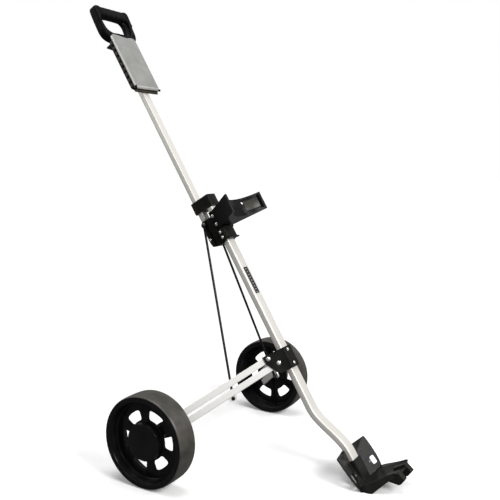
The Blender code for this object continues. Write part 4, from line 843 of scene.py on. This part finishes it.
def dome_form(head, rise, shank, length, foot=0.0):
    """A domed rivet or screw head on a shank, with a fine step round its rim and, if wanted, a set foot."""
    turns = (0.0, 0.2, 0.4, 0.6, 0.8, 1.0, 1.2, 1.4, math.pi / 2)
    profile = [(head * 0.86 * math.sin(t), rise * (0.22 + 0.78 * math.cos(t))) for t in turns]
    profile += [(head * 0.90, rise * 0.20), (head * 0.98, rise * 0.16), (head, rise * 0.08), (head, 0.0),
                (shank, 0.0), (shank, -length)]
    if foot:
        profile += [(foot, -length), (foot * 0.8, -length - rise * 0.33), (0.0, -length - rise * 0.34)]
    else:
        profile.append((0.0, -length))
    return turned_form(profile, 40)


def at(place_frame, place, turn):
    """A frame at a place in another frame, turned there."""
    return place_frame @ Matrix.Translation(place) @ turn


def fastener(node, matrix, head, rise, shank, length, foot=0.0, mat=ZINC):
    """A pin, screw or rivet whose head points along the matrix's +Z."""
    piece(node + "_dome", dome_form(head, rise, shank, length, foot), mat, node, matrix=matrix, sharp=50)


def leg_fasteners(side):
    """The pins at both ends of a leg's bars, and the pin of its push rod."""
    leg = LEGS[side]
    for label, (x, z) in PIVOTS.items():
        end = (x + BAR_LENGTH * math.cos(DROP), z - BAR_LENGTH * math.sin(DROP))
        fastener(f"{label}_leg_pin_{side}", at(leg, (x, 0.0001, z), TO_REAR), *PIN, 0.0162, PIN_FOOT)
        fastener(f"{label}_carrier_pin_{side}", at(leg, (end[0], 0.0001, end[1]), TO_REAR), *PIN, 0.0131,
                 PIN_FOOT)
    fastener(f"push_rod_pin_{side}", at(leg, PUSH_ROD_PIN_AT, TO_REAR), *PUSH_ROD_PIN, 0.0125,
             mat=DARK_ZINC)


def slider_fasteners(side):
    """The screws in one side of the slider."""
    spine = SIDES[side]
    for label, place in CRADLE_SCREWS.items():
        fastener(f"cradle_screw_{label}_{side}", at(spine, place, TO_LEFT), *CRADLE_SCREW, 0.0062)
    for label, place in CLAMP_SCREWS.items():
        fastener(f"clamp_screw_{label}_{side}", at(spine, place, TO_LEFT), *CLAMP_SCREW, 0.0066)


def fasteners():
    """Every pin, screw and rivet that stands in for one of the CAD's."""
    for label, place in HUB_SCREWS.items():
        fastener(f"hub_screw_{label}", at(SPINE, place, TO_FRONT), *HUB_SCREW, 0.0085)
    for side, spine in SIDES.items():
        leg_fasteners(side)
        slider_fasteners(side)
        wing = at(spine @ FOOT_WING, FOOT_RIVET_AT, TO_FRONT)
        fastener(f"foot_rivet_{side}", wing, *FOOT_RIVET, 0.0062, mat=DARK_ZINC)


# ---- everything that keeps the CAD's shape -----------------------------------------------------------
FINISH = {
    "spine_tube": TUBE_METAL, "bars": BAR_METAL, "handle_tube": TUBE_METAL, "brackets": WARM_PLASTIC,
    "handle_frame": HANDLE_PLASTIC, "console": PLASTIC, "cover": SILVER, "grip": RUBBER, "bush": NYLON,
    "push_rods": BLACK_PAINT, "axles": ZINC, "fasteners": ZINC, "black_fasteners": BLACK_PAINT,
}
SPECIAL = {"lower_cradle": FOOT_PLASTIC, "toe_plate": FOOT_PLASTIC, "bag_saddle": SADDLE_PLASTIC}


def skins():
    """A skin for every CAD node that nothing has replaced."""
    for node, thing in NODES.items():
        if not thing.hide_render:
            skin(node, SPECIAL.get(node) or FINISH[SLOT_OF[node]])


# ---- stage -------------------------------------------------------------------------------------------
FLOOR_SEEN_BY_THE_CART = (0.20, 0.20, 0.20, 1)      # dim, so that the black plastics stay black
WORLD_SEEN_BY_THE_CART = 0.34
FLOOR_HALF = 30


def area_light(name, place, target, side, power):
    """A square lamp at a place, facing a target. Its power is in watts."""
    data = bpy.data.lights.new(name, "AREA")
    data.shape = "RECTANGLE"
    data.size = side
    data.size_y = side
    data.energy = power
    light = bpy.data.objects.new(name, data)
    light.location = place
    light.rotation_euler = (Vector(target) - Vector(place)).to_track_quat("-Z", "Y").to_euler()
    bpy.context.scene.collection.objects.link(light)


def floor_paper():
    """White paper to the camera, brighter far off so that it meets the backdrop, and dim to other rays."""
    n = Nodes("floor_paper")
    tone = n.mixed(n.noise(3, 3), (0.90, 0.90, 0.89), (0.93, 0.93, 0.92))
    far = n.add("ShaderNodeVectorMath", operation="LENGTH")
    n.link(n.place, far.inputs[0])
    n.link(n.ranged(far.outputs["Value"], 0.5, 5.0, 0.12, 0.75), n.shader.inputs["Emission Strength"])
    n.shader.inputs["Emission Color"].default_value = (1, 1, 1, 1)
    paper = n.finish(tone, n.ranged(n.noise(60), 0, 1, 0.8, 0.9), n.bump(n.noise(300), 0.05, 0.0002))
    dim = n.add("ShaderNodeBsdfDiffuse")
    dim.inputs["Color"].default_value = FLOOR_SEEN_BY_THE_CART
    rays = n.add("ShaderNodeLightPath")
    blend = n.add("ShaderNodeMixShader")
    n.link(rays.outputs["Is Camera Ray"], blend.inputs[0])
    n.link(dim.outputs[0], blend.inputs[1])
    n.link(n.shader.outputs[0], blend.inputs[2])
    n.link(blend.outputs[0], n.tree.nodes["Material Output"].inputs["Surface"])
    return paper


def floor_plane():
    """The floor, which is no part of the cart."""
    form = bmesh.new()
    bmesh.ops.create_grid(form, x_segments=1, y_segments=1, size=FLOOR_HALF)
    mesh = bpy.data.meshes.new("floor")
    form.to_mesh(mesh)
    form.free()
    mesh.materials.append(floor_paper())
    floor = bpy.data.objects.new("floor", mesh)
    bpy.context.scene.collection.objects.link(floor)


def backdrop():
    """A white world to the camera that lights the cart only a little."""
    world = bpy.data.worlds.new("studio")
    bpy.context.scene.world = world
    world.use_nodes = True
    tree = world.node_tree
    seen = tree.nodes["Background"]
    seen.inputs["Color"].default_value = (1.0, 1.0, 1.0, 1)
    seen.inputs["Strength"].default_value = 1.0
    lit = tree.nodes.new("ShaderNodeBackground")
    lit.inputs["Color"].default_value = (0.97, 0.98, 1.0, 1)
    lit.inputs["Strength"].default_value = WORLD_SEEN_BY_THE_CART
    rays = tree.nodes.new("ShaderNodeLightPath")
    blend = tree.nodes.new("ShaderNodeMixShader")
    tree.links.new(rays.outputs["Is Camera Ray"], blend.inputs[0])
    tree.links.new(lit.outputs[0], blend.inputs[1])
    tree.links.new(seen.outputs[0], blend.inputs[2])
    tree.links.new(blend.outputs[0], tree.nodes["World Output"].inputs["Surface"])


def lights():
    """Two lamps ahead of the cart, one above it and a weak one behind it."""
    area_light("key", (-1.0, -2.8, 2.3), (0, -0.1, 0.5), 1.2, 88)
    area_light("second", (1.1, -2.7, 2.3), (0, -0.1, 0.5), 1.2, 34)
    area_light("top", (-0.2, 0.1, 3.2), (0, 0, 0.4), 2.0, 55)
    area_light("fill", (-1.8, 2.4, 1.6), (0, 0, 0.5), 1.2, 12)


# ---- camera, worked out from the photo's perspective -------------------------------------------------
VIEW_AZIMUTH = math.radians(-59.417)        # 0 looks along +Y
VIEW_ELEVATION = math.radians(7.369)
VIEW_ROLL = math.radians(0.451)
VIEW_DISTANCE = 1.8342
VIEW_TARGET = Vector((0, -0.0979 + AXLE_Y, 0.5499))
FOCAL_LENGTH, SENSOR_WIDTH = 50.147, 36


def camera():
    """The photographed view: from ahead of the cart and to its left, at two thirds of its height."""
    level = math.cos(VIEW_ELEVATION)
    back = Vector((math.sin(VIEW_AZIMUTH) * level, -math.cos(VIEW_AZIMUTH) * level,
                   math.sin(VIEW_ELEVATION)))
    right = Vector((0, 0, 1)).cross(back).normalized()
    turn = Matrix((right, back.cross(right), back)).transposed() @ Matrix.Rotation(VIEW_ROLL, 3, "Z")
    data = bpy.data.cameras.new("camera")
    data.sensor_width = SENSOR_WIDTH
    data.lens = FOCAL_LENGTH
    made = bpy.data.objects.new("camera", data)
    made.matrix_world = Matrix.Translation(VIEW_TARGET + back * VIEW_DISTANCE) @ turn.to_4x4()
    bpy.context.scene.collection.objects.link(made)
    bpy.context.scene.camera = made


for word in SIDES:
    tyre(word)
    rim(word)
    hub_cap(word)
main_tube()
tube_label()
handle_tube()
handle_frame()
handle_neck()
hand_grip()
saddle()
score_plate()
console_trim()
fasteners()
skins()
floor_plane()
backdrop()
lights()
camera()
bpy.context.scene.view_settings.view_transform = "Standard"
